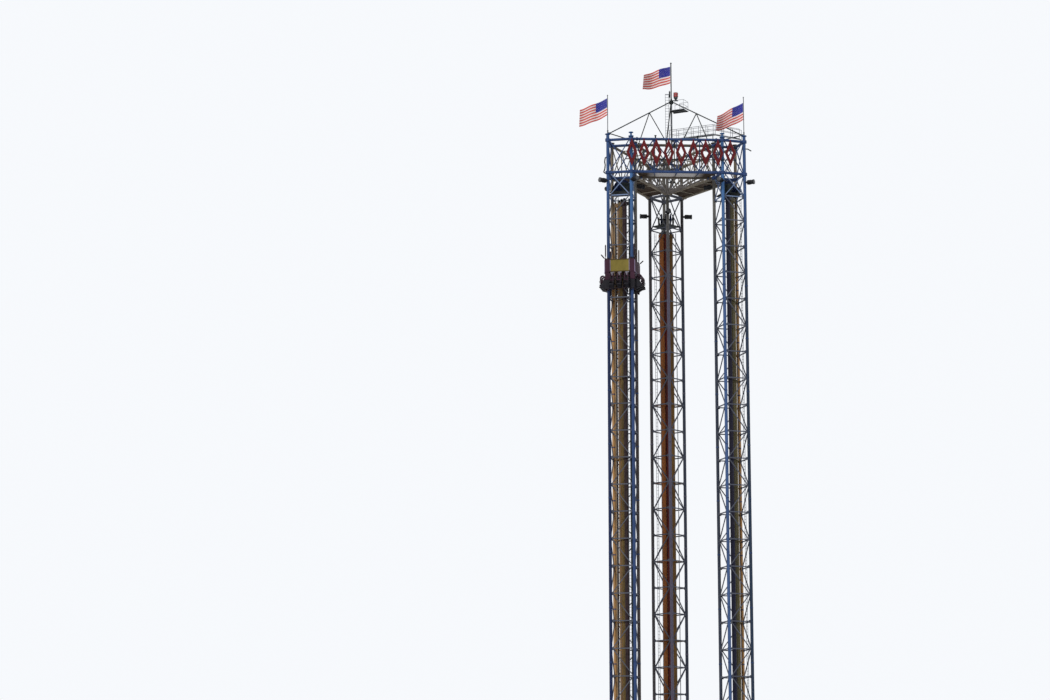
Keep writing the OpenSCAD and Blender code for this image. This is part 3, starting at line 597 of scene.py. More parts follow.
def column_paint_and_shade(tower, outer, sides, inner):
    """Each column of a tower in a colour of its own, which changes towards the crown: partly paint, partly painted
    shade on the columns turned away from the light.
    """
    mat = weathered_paint(f"{tower}_column_paint", outer[0], 0.7, 0.5)
    tree = mat.node_tree
    place = own_place(tree, tower)
    worn = ramp(tree, noise(tree, (14, 14, 3)), 0.3, 0.7)
    up = ramp(tree, place["Z"], HEAD_LEVEL - 0.9, HEAD_LEVEL)

    def aged(pair):
        fresh, old = (mix(tree, up, *(part_of(colour, share) for colour in pair)) for share in (1.0, WORN_SHARE))
        return mix(tree, worn, fresh, old)

    # Colours by column: paint, with painted shade on the columns turned away from the light
    paint = mix(tree, past(tree, place["Y"], 0.0, 0.001), aged(sides[0]), aged(sides[1]))
    paint = mix(tree, past(tree, place["X"], -CORNER_R / 2, 0.001), aged(inner), paint)
    set_surface(tree, {"Base Color": mix(tree, past(tree, place["X"], CORNER_R / 2, 0.001), paint, aged(outer))})
    return mat


def two_tone(mat, place, band, other, below=False, axis="Z"):
    """Changes a finish's colour above a height, or below it, or past a place along another axis."""
    tree = mat.node_tree
    there = ramp(tree, own_place(tree)[axis], place - band, place + band, *((1.0, 0.0) if below else (0.0, 1.0)))
    worn = mix(tree, ramp(tree, noise(tree, (14, 14, 6)), 0.3, 0.7), other, part_of(other, WORN_SHARE))
    set_surface(tree, {"Base Color": mix(tree, there, colour_so_far(tree), worn)})
    return mat


def open_middle(mat):
    """Turns the middle of the front walkway into bare pale grating and leaves its ends in the dark deck colour, brown
    paint darkened with painted shade.
    """
    tree = mat.node_tree
    along = own_place(tree)["X"]
    ends = ramp(tree, calc(tree, "ABSOLUTE", along), 0.19, 0.30)
    mesh = ramp(tree, calc(tree, "SINE", calc(tree, "MULTIPLY", along, 900.0)), -0.2, 0.4)
    pale = mix(tree, mesh, GRATING_PALE, GRATING_DARK)
    set_surface(tree, {"Base Color": mix(tree, ends, pale, colour_so_far(tree))})
    return mat


def flag_material():
    """Striped cloth with a starred canton, from the flag's own UV map: u along the fly, v down the hoist."""
    mat, tree = new_material("flag_cloth")
    stripes, canton_u, canton_v = 13, 0.40, 7 / 13
    across, down, star_r = 12, 10, 0.21
    uv = tree.nodes.new("ShaderNodeUVMap").outputs["UV"]
    place = add_node(tree, "ShaderNodeSeparateXYZ", {"Vector": uv}).outputs
    u, v = place["X"], place["Y"]

    def do(operation, *values):
        return calc(tree, operation, *values)

    stripe = do("MODULO", do("FLOOR", do("MULTIPLY", v, stripes)), 2.0)
    ground = mix(tree, stripe, STRIPE_RED, STRIPE_WHITE)
    cell_u, cell_v = do("MULTIPLY", u, across / canton_u), do("MULTIPLY", v, down / canton_v)
    near_u, near_v = do("ROUND", cell_u), do("ROUND", cell_v)
    even = do("LESS_THAN", do("MODULO", do("ADD", near_u, near_v), 2.0), 0.5)
    for near, count in ((near_u, across), (near_v, down)):
        inside = do("MULTIPLY", do("GREATER_THAN", near, 0.5), do("LESS_THAN", near, count - 0.5))
        even = do("MULTIPLY", even, inside)
    du = do("MULTIPLY", do("SUBTRACT", cell_u, near_u), 1.05)
    dv = do("SUBTRACT", cell_v, near_v)
    radius = do("SQRT", do("ADD", do("MULTIPLY", du, du), do("MULTIPLY", dv, dv)))
    fifth = math.tau / 5
    turn = do("ADD", do("ARCTAN2", du, do("MULTIPLY", dv, -1.0)), math.tau)
    wedge = do("ABSOLUTE", do("SUBTRACT", do("MODULO", do("ADD", turn, fifth / 2), fifth), fifth / 2))
    limit = do("SUBTRACT", star_r, do("MULTIPLY", wedge, star_r * 0.95))
    star = do("MULTIPLY", do("LESS_THAN", radius, limit), even)
    canton = mix(tree, star, CANTON_BLUE, STAR_WHITE)
    in_canton = do("MULTIPLY", do("LESS_THAN", u, canton_u), do("LESS_THAN", v, canton_v))
    cloth = mix(tree, in_canton, ground, canton)
    dirt = ramp(tree, noise(tree, (25, 25, 25)), 0.5, 0.8, 0.0, 0.25)
    weave = do("ADD", do("SINE", do("MULTIPLY", u, 1500.0)), do("SINE", do("MULTIPLY", v, 900.0)))
    set_surface(tree, {"Base Color": mix(tree, dirt, cloth, CLOTH_DIRT), "Roughness": 0.75, "Sheen Weight": 0.25,
                       "Normal": bump(tree, weave, 0.25, 0.0003)})
    return mat


def make_materials():
    """Every finish by its short name."""
    m = {}
    for kind, make, table in (("paint", weathered_paint, PAINTS), ("skin", moulded, MOULDINGS),
                              ("steel", metal, STEELS)):
        m |= {key: make(f"{key}_{kind}", *look) for key, look in table.items()}
    for tower in TOWER_DIRS:
        m[f"{tower}_columns"] = column_paint_and_shade(tower, *COLUMN_COLOURS_AND_SHADE[tower])
        m[f"{tower}_cylinders"] = cylinder_paint(tower, CYLINDER_COLOURS[tower])
    for tower in ("left", "right"):
        pale = two_tone(weathered_paint(f"{tower}_lattice_paint", *PAINTS["lattice"]), HEAD_LEVEL - 0.02, 0.002,
                        PALE_BLUE)
        m[f"{tower}_lattice"] = two_tone(pale, CHORD_LOW - 0.02, 0.002, BLUE)
    # Inner half of the front truss in brown-grey: painted reflection of warm ground light on its underside; the outer
    # half keeps its blue paint
    between = (truss_frame("front") @ Vector((0, (OUTER_Y + INNER_Y) / 2, 0))).y
    m["front_truss"] = two_tone(weathered_paint("front_truss_paint", *PAINTS["blue"]), between, 0.02, REFLECTED_GROUND_BROWN,
                                axis="Y")
    m["front_walkway"] = open_middle(weathered_paint("front_deck_paint", DECK_BROWN_AND_SHADE, 0.5, 0.7))
    m["lens"] = ribbed_lens("lamp_lens", LAMP_GREY, 0.35)
    two_tone(m["platform"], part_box("mast_platform")[0].z + 0.008, 0.001, DARK_STEEL, below=True)
    m["warning_beacon"] = two_tone(ribbed_lens("beacon_lens", BEACON_RED, 0.3), BEACON_LENS_Z, 0.0005, DARK_STEEL,
                                   below=True)
    m["flag"] = flag_material()
    return m


MATERIALS = make_materials()


def dress_nodes():
    """Gives every construction node its finish: the one of its own name, or the one for its kind."""
    for name, obj in NODES.items():
        kind = name if name in MATERIALS else next(v for k, v in NODE_FINISH.items() if name.endswith(k))
        obj.data.materials.clear()
        obj.data.materials.append(MATERIALS[kind])


# Flags

def make_flag(name, hoist_top, away, wind, node):
    """A flag blown to the left of its pole: the cloth keeps its cut size while it ripples, droops and folds."""
    fly, hoist, steps, rows = FLAG_FLY, FLAG_HOIST, 72, 30
    waves, slack, cloth_t = 1.55, 0.008, 0.0006
    droop, fold, ripple, phase = wind
    deselect()
    bpy.ops.mesh.primitive_grid_add(x_subdivisions=steps, y_subdivisions=rows, size=1)
    obj = active(name)
    path = [(0.0, 0.0)]
    for i in range(steps):
        s = (i + 0.5) / steps
        bend = math.radians(ripple) * math.sin(math.tau * (waves * s ** 0.9) + phase) * min(1.0, 0.25 + 1.6 * s)
        x, y = path[-1]
        path.append((x - math.cos(bend) * fly / steps, y + math.sin(bend) * fly / steps))
    uv_layer = obj.data.uv_layers.active or obj.data.uv_layers.new(name="UVMap")
    for loop in obj.data.loops:
        co = obj.data.vertices[loop.vertex_index].co
        uv_layer.data[loop.index].uv = (0.5 - co.x, 0.5 - co.y)
    for vert in obj.data.vertices:
        s, t = 0.5 - vert.co.x, 0.5 - vert.co.y
        x, y = path[round(s * steps)]
        sag = math.tan(math.radians(droop)) * -x + slack * math.sin(math.pi * s) * math.cos(phase)
        lean = math.radians(fold) * s
        vert.co = Vector((x, y + hoist * t * math.sin(lean), -hoist * t * math.cos(lean) - sag))
    obj.data.transform(Matrix.Translation(Vector(hoist_top) + Vector((-away, 0, 0))))
    select_only(obj)
    bpy.ops.object.shade_smooth()
    cloth = obj.modifiers.new("cloth", "SOLIDIFY")
    cloth.thickness = cloth_t
    cloth.offset = 0
    bpy.ops.object.modifier_apply(modifier=cloth.name)
    finish_piece(obj, "flag")
    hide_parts(node)


def make_flags():
    """The three flags, two on flagpoles and one on the mast."""
    for tower, (below, away, wind) in POLE_FLAGS.items():
        low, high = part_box(f"{tower}_flagpole")
        top = ((low.x + high.x) / 2, (low.y + high.y) / 2, high.z - below)
        make_flag(f"{tower}_flag_cloth", top, away, wind, f"{tower}_flag")
    low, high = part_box("mast_flag")
    make_flag("mast_flag_cloth", (high.x, (low.y + high.y) / 2, high.z), 0.002, MAST_WIND, "mast_flag")


# Towers

def make_column_joints(tower):
    """Paired ring flanges where the column sections are bolted together, every second bay."""
    reach, thick, between = 0.0016, 0.0050, 0.0012
    rings = []
    for side in BOTH:
        near = side * between / 2
        ring = add_rod("joint_ring", (0, 0, near), (0, 0, near + side * thick), COLUMN_R + reach, sides=24)
        rings.append(ease(ring, 0.0006))
    places = [column @ shift(0, 0, z + BAY / 2)
              for column in column_frames(tower) for z in levels(tower)[1:BAYS - 1:2]]
    set_out(rings, places, f"{tower}_column_joints", "purple_grey" if tower == "rear" else "blue")


def make_node_plates(tower):
    """Bolted gusset plates where the struts and braces of a lattice side meet its columns."""
    wide, thick, high, clip = 0.019, 0.0020, 0.030, 0.006
    middle_x = HALF - COLUMN_R - 0.0004 - wide / 2
    outside = -LATTICE_T / 2 - 0.0002
    plate = clipped_plate("node_plate", (0, outside - thick / 2, 0), (wide, thick, high), clip)
    bolts = [add_hex("plate_bolt", (x, outside - thick, z), (0, -1, 0))
             for x, z in ((0.0, 0.010), (0.0, -0.010), (0.005, 0.0), (-0.005, 0.0))]
    places = [face_frame(tower, k) @ shift(side * middle_x, 0, z)
              for k in range(4) for side in BOTH for z in levels(tower)[:-2]]
    set_out([plate] + bolts, places, f"{tower}_node_plates", "lattice")


def make_column_feet(tower):
    """Foot flange, stiffening ribs and anchor nuts round each column on its base plate."""
    flange_r, flange_t, rib_t, rib_w, rib_h = 0.029, 0.006, 0.003, 0.011, 0.046
    toe_h, tip_w, bolts_r = 0.010, 0.002, 0.0235
    top = BASE_T + flange_t
    flange = ease(add_rod("foot_flange", (0, 0, BASE_T), (0, 0, top), flange_r, sides=32), 0.0012)
    rib = add_block("foot_rib", (COLUMN_R + rib_w / 2, 0, top + rib_h / 2), (rib_w, rib_t, rib_h))
    trim(rib, (COLUMN_R + rib_w, 0, top + toe_h), (rib_h - toe_h, 0, rib_w - tip_w))
    ribs = copies(rib, [turn_z(90 * i) for i in range(4)], "foot_ribs")
    nut = join([add_hex("foot_nut", (bolts_r, 0, top), (0, 0, 1)),
                add_rod("foot_bolt", (bolts_r, 0, top), (bolts_r, 0, top + 0.0075), 0.0018)], "foot_nut")
    nuts = copies(nut, [turn_z(45 * i + 22.5) for i in range(8)], "foot_nuts")
    set_out([flange, ribs, nuts], column_frames(tower), f"{tower}_column_feet",
            "purple_grey" if tower == "rear" else "navy")


def make_risers():
    """Flat cable trays and a conduit up the towers beside the drive cylinders."""
    for name, (tower, x, y, width, thick, finish) in RISERS.items():
        low, high = riser_ends(tower)
        bar = add_block(name, (0, 0, (low + high) / 2), (width, thick, high - low), edge=0.0006)
        bar.data.transform(square_frame(tower, x, y))
        finish_piece(bar, finish)


def make_cable_ladder(tower, x, y, wide):
    """Cable ladder up a tower beside the drive cylinders."""
    pitch, first, stile_w, stile_t, rung_r = 0.036, 0.02, 0.0040, 0.006, 0.0016
    low, high = riser_ends(tower)
    stiles = [add_block("stile", (side * wide / 2, 0, (low + high) / 2), (stile_w, stile_t, high - low), edge=0.0006)
              for side in BOTH]
    heights = [low + first + n * pitch for n in range(int((high - low - first) / pitch))]
    rungs = copies(add_rod("rung", (-wide / 2, 0, 0), (wide / 2, 0, 0), rung_r, sides=6),
                   [shift(0, 0, z) for z in heights], "rungs")
    set_out(stiles + [rungs], [square_frame(tower, x, y)], f"{tower}_cable_ladder", "ladder")


def make_cylinder_bands(tower):
    """Clamp bands round each drive cylinder where its sections join, once in each bay."""
    band_h, proud, under_head = 0.010, 0.0009, 0.08
    band = ease(add_rod("cylinder_band", (0, 0, -band_h / 2), (0, 0, band_h / 2), TUBE_R + proud, sides=32), 0.0007)
    first = FIRST_LEVEL + BAY / 2 - DROP[tower]
    count = int((TUBE_TOPS[tower] - under_head - first) / BAY) + 1
    heights = [first + n * BAY for n in range(count)]
    set_out([band], cylinder_frames(tower, *heights), f"{tower}_cylinder_bands", f"{tower}_cylinders")


def make_sheaves(tower):
    """Grooved sheave between two cheek plates over each drive cylinder, on its head block."""
    wheel_r, rim_r, cheek_w, cheek_h, cheek_t, apart = 0.017, 0.0032, 0.030, 0.034, 0.0026, 0.0130
    axle_z, cheek_z = TUBE_TOPS[tower] + 0.024, TUBE_TOPS[tower] + cheek_h / 2
    wheel = [add_ring("sheave_rim", (0, 0, axle_z), wheel_r, rim_r, 32, tilt=(90, 0, 0)),
             add_axle("sheave_disc", 0.0015, axle_z, wheel_r, sides=32),
             add_axle("sheave_hub", 0.0055, axle_z, 0.0060, sides=16)]
    cheeks = []
    for side in BOTH:
        y = side * apart / 2
        cheeks.append(clipped_plate("sheave_cheek", (0, y, cheek_z), (cheek_w, cheek_t, cheek_h), 0.009))
        cheeks.append(add_hex("axle_nut", (0, y + side * cheek_t / 2, axle_z), (0, side, 0)))
    set_out(cheeks, cylinder_frames(tower, 0.0), f"{tower}_sheave_cheeks", "dark_steel")
    set_out(wheel, cylinder_frames(tower, 0.0), f"{tower}_sheaves", "bright")


def make_head_sheaves(tower):
    """Large spoked sheaves on one axle in the tower head, between side frames over a deck."""
    wheel_r, rim_r, axle_r, axle_half = 0.058, 0.0052, 0.008, 0.086
    plate_y, plate_w, plate_t, plate_h, clip = 0.077, 0.136, 0.006, 0.100, 0.030
    deck_half, deck_corner, deck_t = HALF - LATTICE_T / 2 - 0.006, CORNER_R - COLUMN_R - 0.012, 0.004
    axle_z = HEAD_LEVEL + 0.120 - DROP[tower]
    deck_z = axle_z - 0.078
    spokes = copies(add_block("head_spoke", (0, 0, wheel_r / 2), (0.006, 0.010, wheel_r - 0.006)),
                    [shift(0, 0, axle_z) @ Matrix.Rotation(math.radians(60 * n), 4, "Y") for n in range(6)], "spokes")
    wheel = [add_ring("head_rim", (0, 0, axle_z), wheel_r, rim_r, 40, tilt=(90, 0, 0)),
             add_axle("head_web", 0.002, axle_z, wheel_r - 0.002, sides=40),
             ease(add_axle("head_hub", 0.009, axle_z, 0.016, sides=24), 0.0012), spokes]
    set_out(wheel, cylinder_frames(tower, 0.0), f"{tower}_head_sheaves", "navy")
    parts = [add_axle("head_axle", axle_half, axle_z, axle_r, sides=20)]
    for side in BOTH:
        y = side * plate_y
        parts.append(clipped_plate("head_frame", (0, y, axle_z - 0.026), (plate_w, plate_t, plate_h), clip))
        parts.append(add_hex("axle_cap", (0, y + side * plate_t / 2, axle_z), (0, side, 0)))
    deck = add_block("head_deck", (0, 0, deck_z), (2 * deck_half, 2 * deck_half, deck_t), turn=math.radians(45))
    for n in range(4):
        across, along = math.cos(math.radians(90 * n)), math.sin(math.radians(90 * n))
        trim(deck, (deck_corner * across, deck_corner * along, deck_z), (across, along, 0))
    set_out(parts + [deck], [tower_frame(tower)], f"{tower}_head_frames", "dark_steel")


def make_floodlight_parts(tower):
    """Lens, bezel, cooling fins and yoke of each floodlight."""
    back, front, hood_r, bezel_r, fin_t, fin_pitch = 0.014, 0.089, 0.025, 0.0020, 0.0018, 0.0060
    lamp_z = HEAD_LEVEL + 0.153 - DROP[tower]
    places = [column @ shift(COLUMN_R + SEAT_GAP, 0, lamp_z) for column in column_frames(tower)]
    housing = [add_ring("lamp_bezel", (front, 0, 0), hood_r - bezel_r, bezel_r, 36, tilt=(0, 90, 0))]
    for n in range(6):
        x = back + 0.006 + fin_pitch * n
        housing.append(ease(add_rod("lamp_fin", (x, 0, 0), (x + fin_t, 0, 0), hood_r, sides=28), 0.0005))
    for side in BOTH:
        housing += [add_block("yoke_arm", (0.028, side * 0.0268, 0), (0.058, 0.0022, 0.011), edge=0.0006),
                    add_hex("yoke_bolt", (0.050, side * 0.0279, 0), (0, side, 0))]
    housing.append(add_block("yoke_back", (0.0012, 0, 0), (0.0020, 0.0558, 0.011), edge=0.0005))
    set_out(housing, places, f"{tower}_lamp_housings", "lamp_black")
    lens = add_rod("lamp_lens", (front, 0, 0), (front + 0.0012, 0, 0), hood_r - 0.0032, sides=32,
                   end_radius=hood_r - 0.0060)
    set_out([lens], places, f"{tower}_lamp_lenses", "lens")


# Crown

def chord_places():
    """Each chord of a truss: its height, y and reach along the truss."""
    return [(z, y, reach) for z in (CHORD_LOW, CHORD_HIGH) for y, reach in ((OUTER_Y, OUTER_X), (INNER_Y, INNER_X))]


def make_chord_flanges(truss):
    """Bolted flange pairs near both ends of each chord."""
    flange_r, flange_t, gap, bolts_r, in_from_end = 0.0205, 0.0048, 0.0004, 0.0172, 0.062
    parts = []
    for side in BOTH:
        face = side * (gap + flange_t)
        parts.append(ease(add_rod("chord_flange", (side * gap, 0, 0), (face, 0, 0), flange_r, sides=28), 0.0007))
        for i in range(8):
            turn = math.radians(45 * i + 22.5)
            foot = (face, bolts_r * math.cos(turn), bolts_r * math.sin(turn))
            parts.append(add_hex("flange_bolt", foot, (side, 0, 0)))
    places = [truss_frame(truss) @ shift(side * (reach - in_from_end), y, z)
              for z, y, reach in chord_places() for side in BOTH]
    set_out(parts, places, f"{truss}_chord_flanges", CROWN_PAINT[truss])


def make_truss_gussets(truss):
    """Gusset plates in each side of a truss where its posts and braces meet the chords."""
    wide, thick, high, clip = 0.046, 0.0040, 0.016, 0.010
    off_chord = CHORD_R * 0.9 + high / 2
    places = [truss_frame(truss) @ shift(-reach + 2 * reach * i / TRUSS_PANELS, y,
                                         z - off_chord if z == CHORD_HIGH else z + off_chord)
              for z, y, reach in chord_places() for i in range(1, TRUSS_PANELS)]
    plate = clipped_plate("truss_gusset", (0, 0, 0), (wide, thick, high), clip)
    set_out([plate], places, f"{truss}_truss_gussets", CROWN_PAINT[truss])


def make_walkway_grating(truss):
    """Bearing bars on a walkway deck, laid across it between its kick plates."""
    count, bar_w, bar_h, kick, strut_r, deck_t = 56, 0.0028, 0.0020, 0.0050, 0.006, 0.004
    deck_top = CHORD_LOW + strut_r * math.cos(math.radians(30)) + SEAT_GAP + deck_t
    near, far = OUTER_Y + CHORD_R + kick, INNER_Y - CHORD_R - kick
    reach = INNER_X - 0.052
    bar = add_block("grating_bar", (0, (near + far) / 2, deck_top + bar_h / 2), (bar_w, far - near, bar_h))
    places = [truss_frame(truss) @ shift(-reach + 2 * reach * i / (count - 1), 0, 0) for i in range(count)]
    set_out([bar], places, f"{truss}_walkway_grating", "galvanised")


def make_sign_edging():
    """Raised edging round the outside and the opening of each lozenge."""
    wide, high, bead, inset, opening = LOZENGE_W, LOZENGE_H, 0.0022, 0.0032, 0.5
    low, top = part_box("sign_lozenges")
    slope = math.hypot(high, wide)
    parts = []
    for share, move in ((1.0, -inset), (opening, inset)):
        corners = [(wide / 2 * share, 0), (0, high / 2 * share), (-wide / 2 * share, 0), (0, -high / 2 * share)]
        for (x0, z0), (x1, z1) in zip(corners, corners[1:] + corners[:1]):
            dx = math.copysign(1, x0 + x1) * move * high / slope
            dz = math.copysign(1, z0 + z1) * move * wide / slope
            parts.append(add_rod("edging", (x0 + dx, low.y, z0 + dz), (x1 + dx, low.y, z1 + dz), bead, sides=6))
    places = [shift(SIGN_X - SIGN_LEN / 2 + (i + 0.5) * SIGN_LEN / LOZENGES, 0, (low.z + top.z) / 2)
              for i in range(LOZENGES)]
    set_out(parts, places, "sign_edging", "edging")


def make_crown_fittings():
    """Eye posts on the front truss, a cable loop and a lamp arm beside the outer columns, and the aerial's sleeve."""
    front_y = (truss_frame("front") @ Vector((0, OUTER_Y, 0))).y
    posts = []
    for x in (-0.220, 0.220):
        foot = Vector((x, front_y, CHORD_HIGH + CHORD_R - 0.001))
        posts += [add_rod("eye_post", foot, foot + Vector((0, 0, 0.024)), 0.0072, sides=12),
                  add_rod("eye_plate", foot + Vector((0, 0, 0.021)), foot + Vector((0, 0, 0.028)), 0.0115, sides=16)]
    finish_piece(join(posts, "chord_eye_posts"), "dark_steel")
    column = column_frames("left")[0].translation
    path = [Vector((column.x + dx, column.y, CHORD_LOW + 0.165 + dz)) for dx, dz in CABLE_LOOP]
    finish_piece(bent_bar("left_cable_loop", path, 0.0062), "dark_steel")
    column = column_frames("right")[0].translation
    start = Vector((column.x + 0.0150, column.y, CHORD_LOW + 0.272))
    arm = [start, start + Vector((0.022, 0, 0.0)), start + Vector((0.060, 0, -0.022))]
    finish_piece(bent_bar("right_lamp_arm", arm, 0.0058), "dark_steel")
    low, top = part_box("antenna")
    x, y = (low.x + top.x) / 2, (low.y + top.y) / 2
    sleeve = add_rod("aerial_sleeve", (x, y, low.z + 0.30 * (top.z - low.z)), (x, y, top.z - 0.010), 0.0078, sides=16)
    finish_piece(ease(sleeve, 0.0012), "dark_steel")


def make_beacon_cage():
    """Guard hoops and bars round the lens of the warning beacon."""
    low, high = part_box("warning_beacon")
    x, y = (low.x + high.x) / 2, (low.y + high.y) / 2
    lens_low, lens_top, hoop_r, wire = high.z - 0.050, high.z - 0.004, 0.0250, 0.0008
    parts = [add_ring("cage_hoop", (x, y, z), hoop_r, wire, 36, wire_sides=6)
             for z in (lens_low, (lens_low + lens_top) / 2, lens_top)]
    for i in range(8):
        turn = math.radians(45 * i)
        foot = Vector((x + hoop_r * math.cos(turn), y + hoop_r * math.sin(turn), lens_low))
        parts.append(add_rod("cage_bar", foot, foot + Vector((0, 0, lens_top - lens_low)), wire, sides=6))
    finish_piece(join(parts, "beacon_cage"), "dark_steel")


def make_mast_conduit():
    """Conduit up the front of the mast, with its clips."""
    radius, clip_every, mast_r = 0.0024, 0.14, 0.009
    y = -mast_r - radius
    low, high = CHORD_LOW + 0.04, APEX_Z - 0.03
    parts = [add_rod("conduit", GROUP_MIDDLE + Vector((0.0, y, low)), GROUP_MIDDLE + Vector((0.0, y, high)), radius,
                     sides=12)]
    for n in range(int((high - low) / clip_every)):
        middle = GROUP_MIDDLE + Vector((0, y + 0.0008, low + 0.03 + n * clip_every))
        parts.append(add_block("conduit_clip", middle, (0.0125, 0.0062, 0.005), edge=0.0008))
    finish_piece(join(parts, "mast_conduit"), "galvanised")


# Carriages

def make_carriage_rollers(tower):
    """Guide rollers in forked brackets above the top rail and under the lowest rail, two to a side and level."""
    wheel_r, wheel_w, clear, cheek_t, cheek_w, cheek_h = 0.0075, 0.011, 0.0022, 0.0022, 0.0150, 0.0160
    axle_y = HALF + COLUMN_R + clear + wheel_r
    wheels, forks = [], []
    for z, way in ((CARRIAGE_H + 0.0095, 1), (-0.0095, -1)):
        wheel = add_rod("roller", (-wheel_w / 2, axle_y, z), (wheel_w / 2, axle_y, z), wheel_r, sides=24)
        wheels.append(ease(wheel, 0.0012))
        for side in BOTH:
            x = side * (wheel_w / 2 + 0.0006 + cheek_t / 2)
            forks += [add_block("roller_cheek", (x, axle_y + 0.0010, z - way * 0.0015), (cheek_t, cheek_w, cheek_h)),
                      add_hex("roller_nut", (x + side * cheek_t / 2, axle_y, z), (side, 0, 0))]
    places = [side @ shift(x, 0, 0) for side in carriage_sides(tower) for x in (-HALF, HALF)]
    fit_carriage(tower, wheels, places, "carriage_rollers", "lamp_black")
    fit_carriage(tower, forks, places, "roller_forks", "carriage")


def make_panel_trim(tower):
    """Edge strips and button screws on the header panels, and the pale rails under their ends."""
    strip, proud, screws_in, rail_r, post_r = 0.0060, 0.0016, 0.012, 0.0042, 0.0036
    out, reach = RING_OUT + SEAT_GAP + 0.004, RING_OUT
    strips, screws = [], []
    for z in (HEADER_LOW + strip / 2, HEADER_LOW + HEADER_H - strip / 2):
        strips.append(add_block("panel_strip", (0, out + proud / 2, z), (2 * reach, proud, strip), edge=0.0005))
        for n in range(9):
            x = -reach + screws_in + n * (2 * reach - 2 * screws_in) / 8
            screws.append(add_hex("panel_screw", (x, out + proud, z), (0, 1, 0)))
    for side in BOTH:
        middle = (side * (reach - strip / 2), out + proud / 2, HEADER_LOW + HEADER_H / 2)
        strips.append(add_block("panel_strip", middle, (strip, proud, HEADER_H - 2 * strip), edge=0.0005))
    plain_sides = carriage_sides(tower, (1, 3))
    fit_carriage(tower, strips, plain_sides, "panel_strips", "carriage")
    fit_carriage(tower, screws, plain_sides, "panel_screws", "bright")
    rail_z, end = HEADER_LOW - 0.006, reach - 0.014
    rail = add_rod("pale_rail", (end, out + 0.005, rail_z), (-end, out + 0.005, rail_z), rail_r, sides=16)
    hooks = [add_block("rail_hook", (x, out - 0.001, rail_z), (0.006, 0.012, 0.006), edge=0.0008)
             for x in (-0.11, 0.0, 0.11)]
    rails = copies(join([rail] + hooks, "pale_rail"), plain_sides, "pale_rails")
    corner = reach + 0.0034
    post = add_rod("corner_rail", (corner, corner, HEADER_LOW - 0.008),
                   (corner, corner, HEADER_LOW + HEADER_H - 0.012), post_r, sides=16)
    posts = copies(post, carriage_sides(tower), "corner_rails")
    finish_piece(join([rails, posts], f"{tower}_pale_rails"), "pale_rail", f"{tower}_carriage")


def make_prong_sleeves(tower):
    """Dark sleeves on the upright prongs and slanted arms over the carriage's corners."""
    sleeve_r, arm_slope, arm_foot_z = 0.0062, 1.2125, CARRIAGE_H - 0.0045
    post = RING_OUT - RAIL_T / 2
    ends = [(post, post, CARRIAGE_H + up) for up in (0.030, 0.148)]
    upright = add_rod("prong_sleeve", *ends, sleeve_r, sides=16)
    ends = [(post + away, post + away, arm_foot_z + away * arm_slope) for away in (0.012, 0.038)]
    arm = add_rod("arm_sleeve", *ends, sleeve_r, sides=16)
    fit_carriage(tower, [ease(upright, 0.0010), ease(arm, 0.0010)], carriage_sides(tower), "prong_sleeves", "carriage")


def make_corner_guards(tower):
    """Two guard plates beside each outer seat: a painted one above, a dark one with three raised ribs below."""
    wide, thick, split, gap, screws_in = 0.0435, 0.0020, HEADER_LOW - 0.083, 0.002, 0.006
    x, y = RING_OUT - 0.001 - wide / 2, RING_OUT + SEAT_GAP + thick / 2
    places = [frame_at @ shift(side * x, y, 0) for frame_at in carriage_sides(tower) for side in BOTH]
    for name, low, high, ribs, finish in (
            ("upper_guards", split + gap, HEADER_LOW - 0.003, (), "maroon"),
            ("lower_guards", 0.001, split - gap, (-0.010, 0.0, 0.010), "seat")):
        middle, tall = (low + high) / 2, high - low
        parts = [add_block(name, (0, 0, middle), (wide, thick, tall), edge=0.0005)]
        parts += [add_hex("guard_screw", (sx * (wide / 2 - 0.005), thick / 2, z), (0, 1, 0))
                  for sx in BOTH for z in (low + screws_in, high - screws_in)]
        parts += [add_block("guard_rib", (rib_x, thick / 2 + 0.001, middle), (0.0030, 0.0030, tall - 0.026),
                            edge=0.0006) for rib_x in ribs]
        fit_carriage(tower, parts, places, name, finish)


def make_head_rests(tower):
    """Tapered head rest on a short stem above each seat's back, behind the restraint's arms."""
    wide, narrow, thick, low, high = 0.042, 0.016, 0.0045, 0.137, 0.174
    y = RING_OUT + SEAT_GAP + thick / 2
    rest = add_block("head_rest", (0, y, (low + high) / 2), (wide, thick, high - low))
    for side in BOTH:
        trim(rest, (side * narrow / 2, y, low), (side * (high - low), 0, -(wide - narrow) / 2))
    parts = [ease(rest, 0.0012, segments=2),
             add_block("head_rest_stem", (0, RING_OUT - 0.003, 0.1335), (0.009, 0.005, 0.010), edge=0.0006),
             add_block("head_rest_foot", (0, RING_OUT, 0.1395), (0.009, 0.010, 0.004), edge=0.0006)]
    fit_carriage(tower, parts, seat_frames(tower), "head_rests", "head_rest")


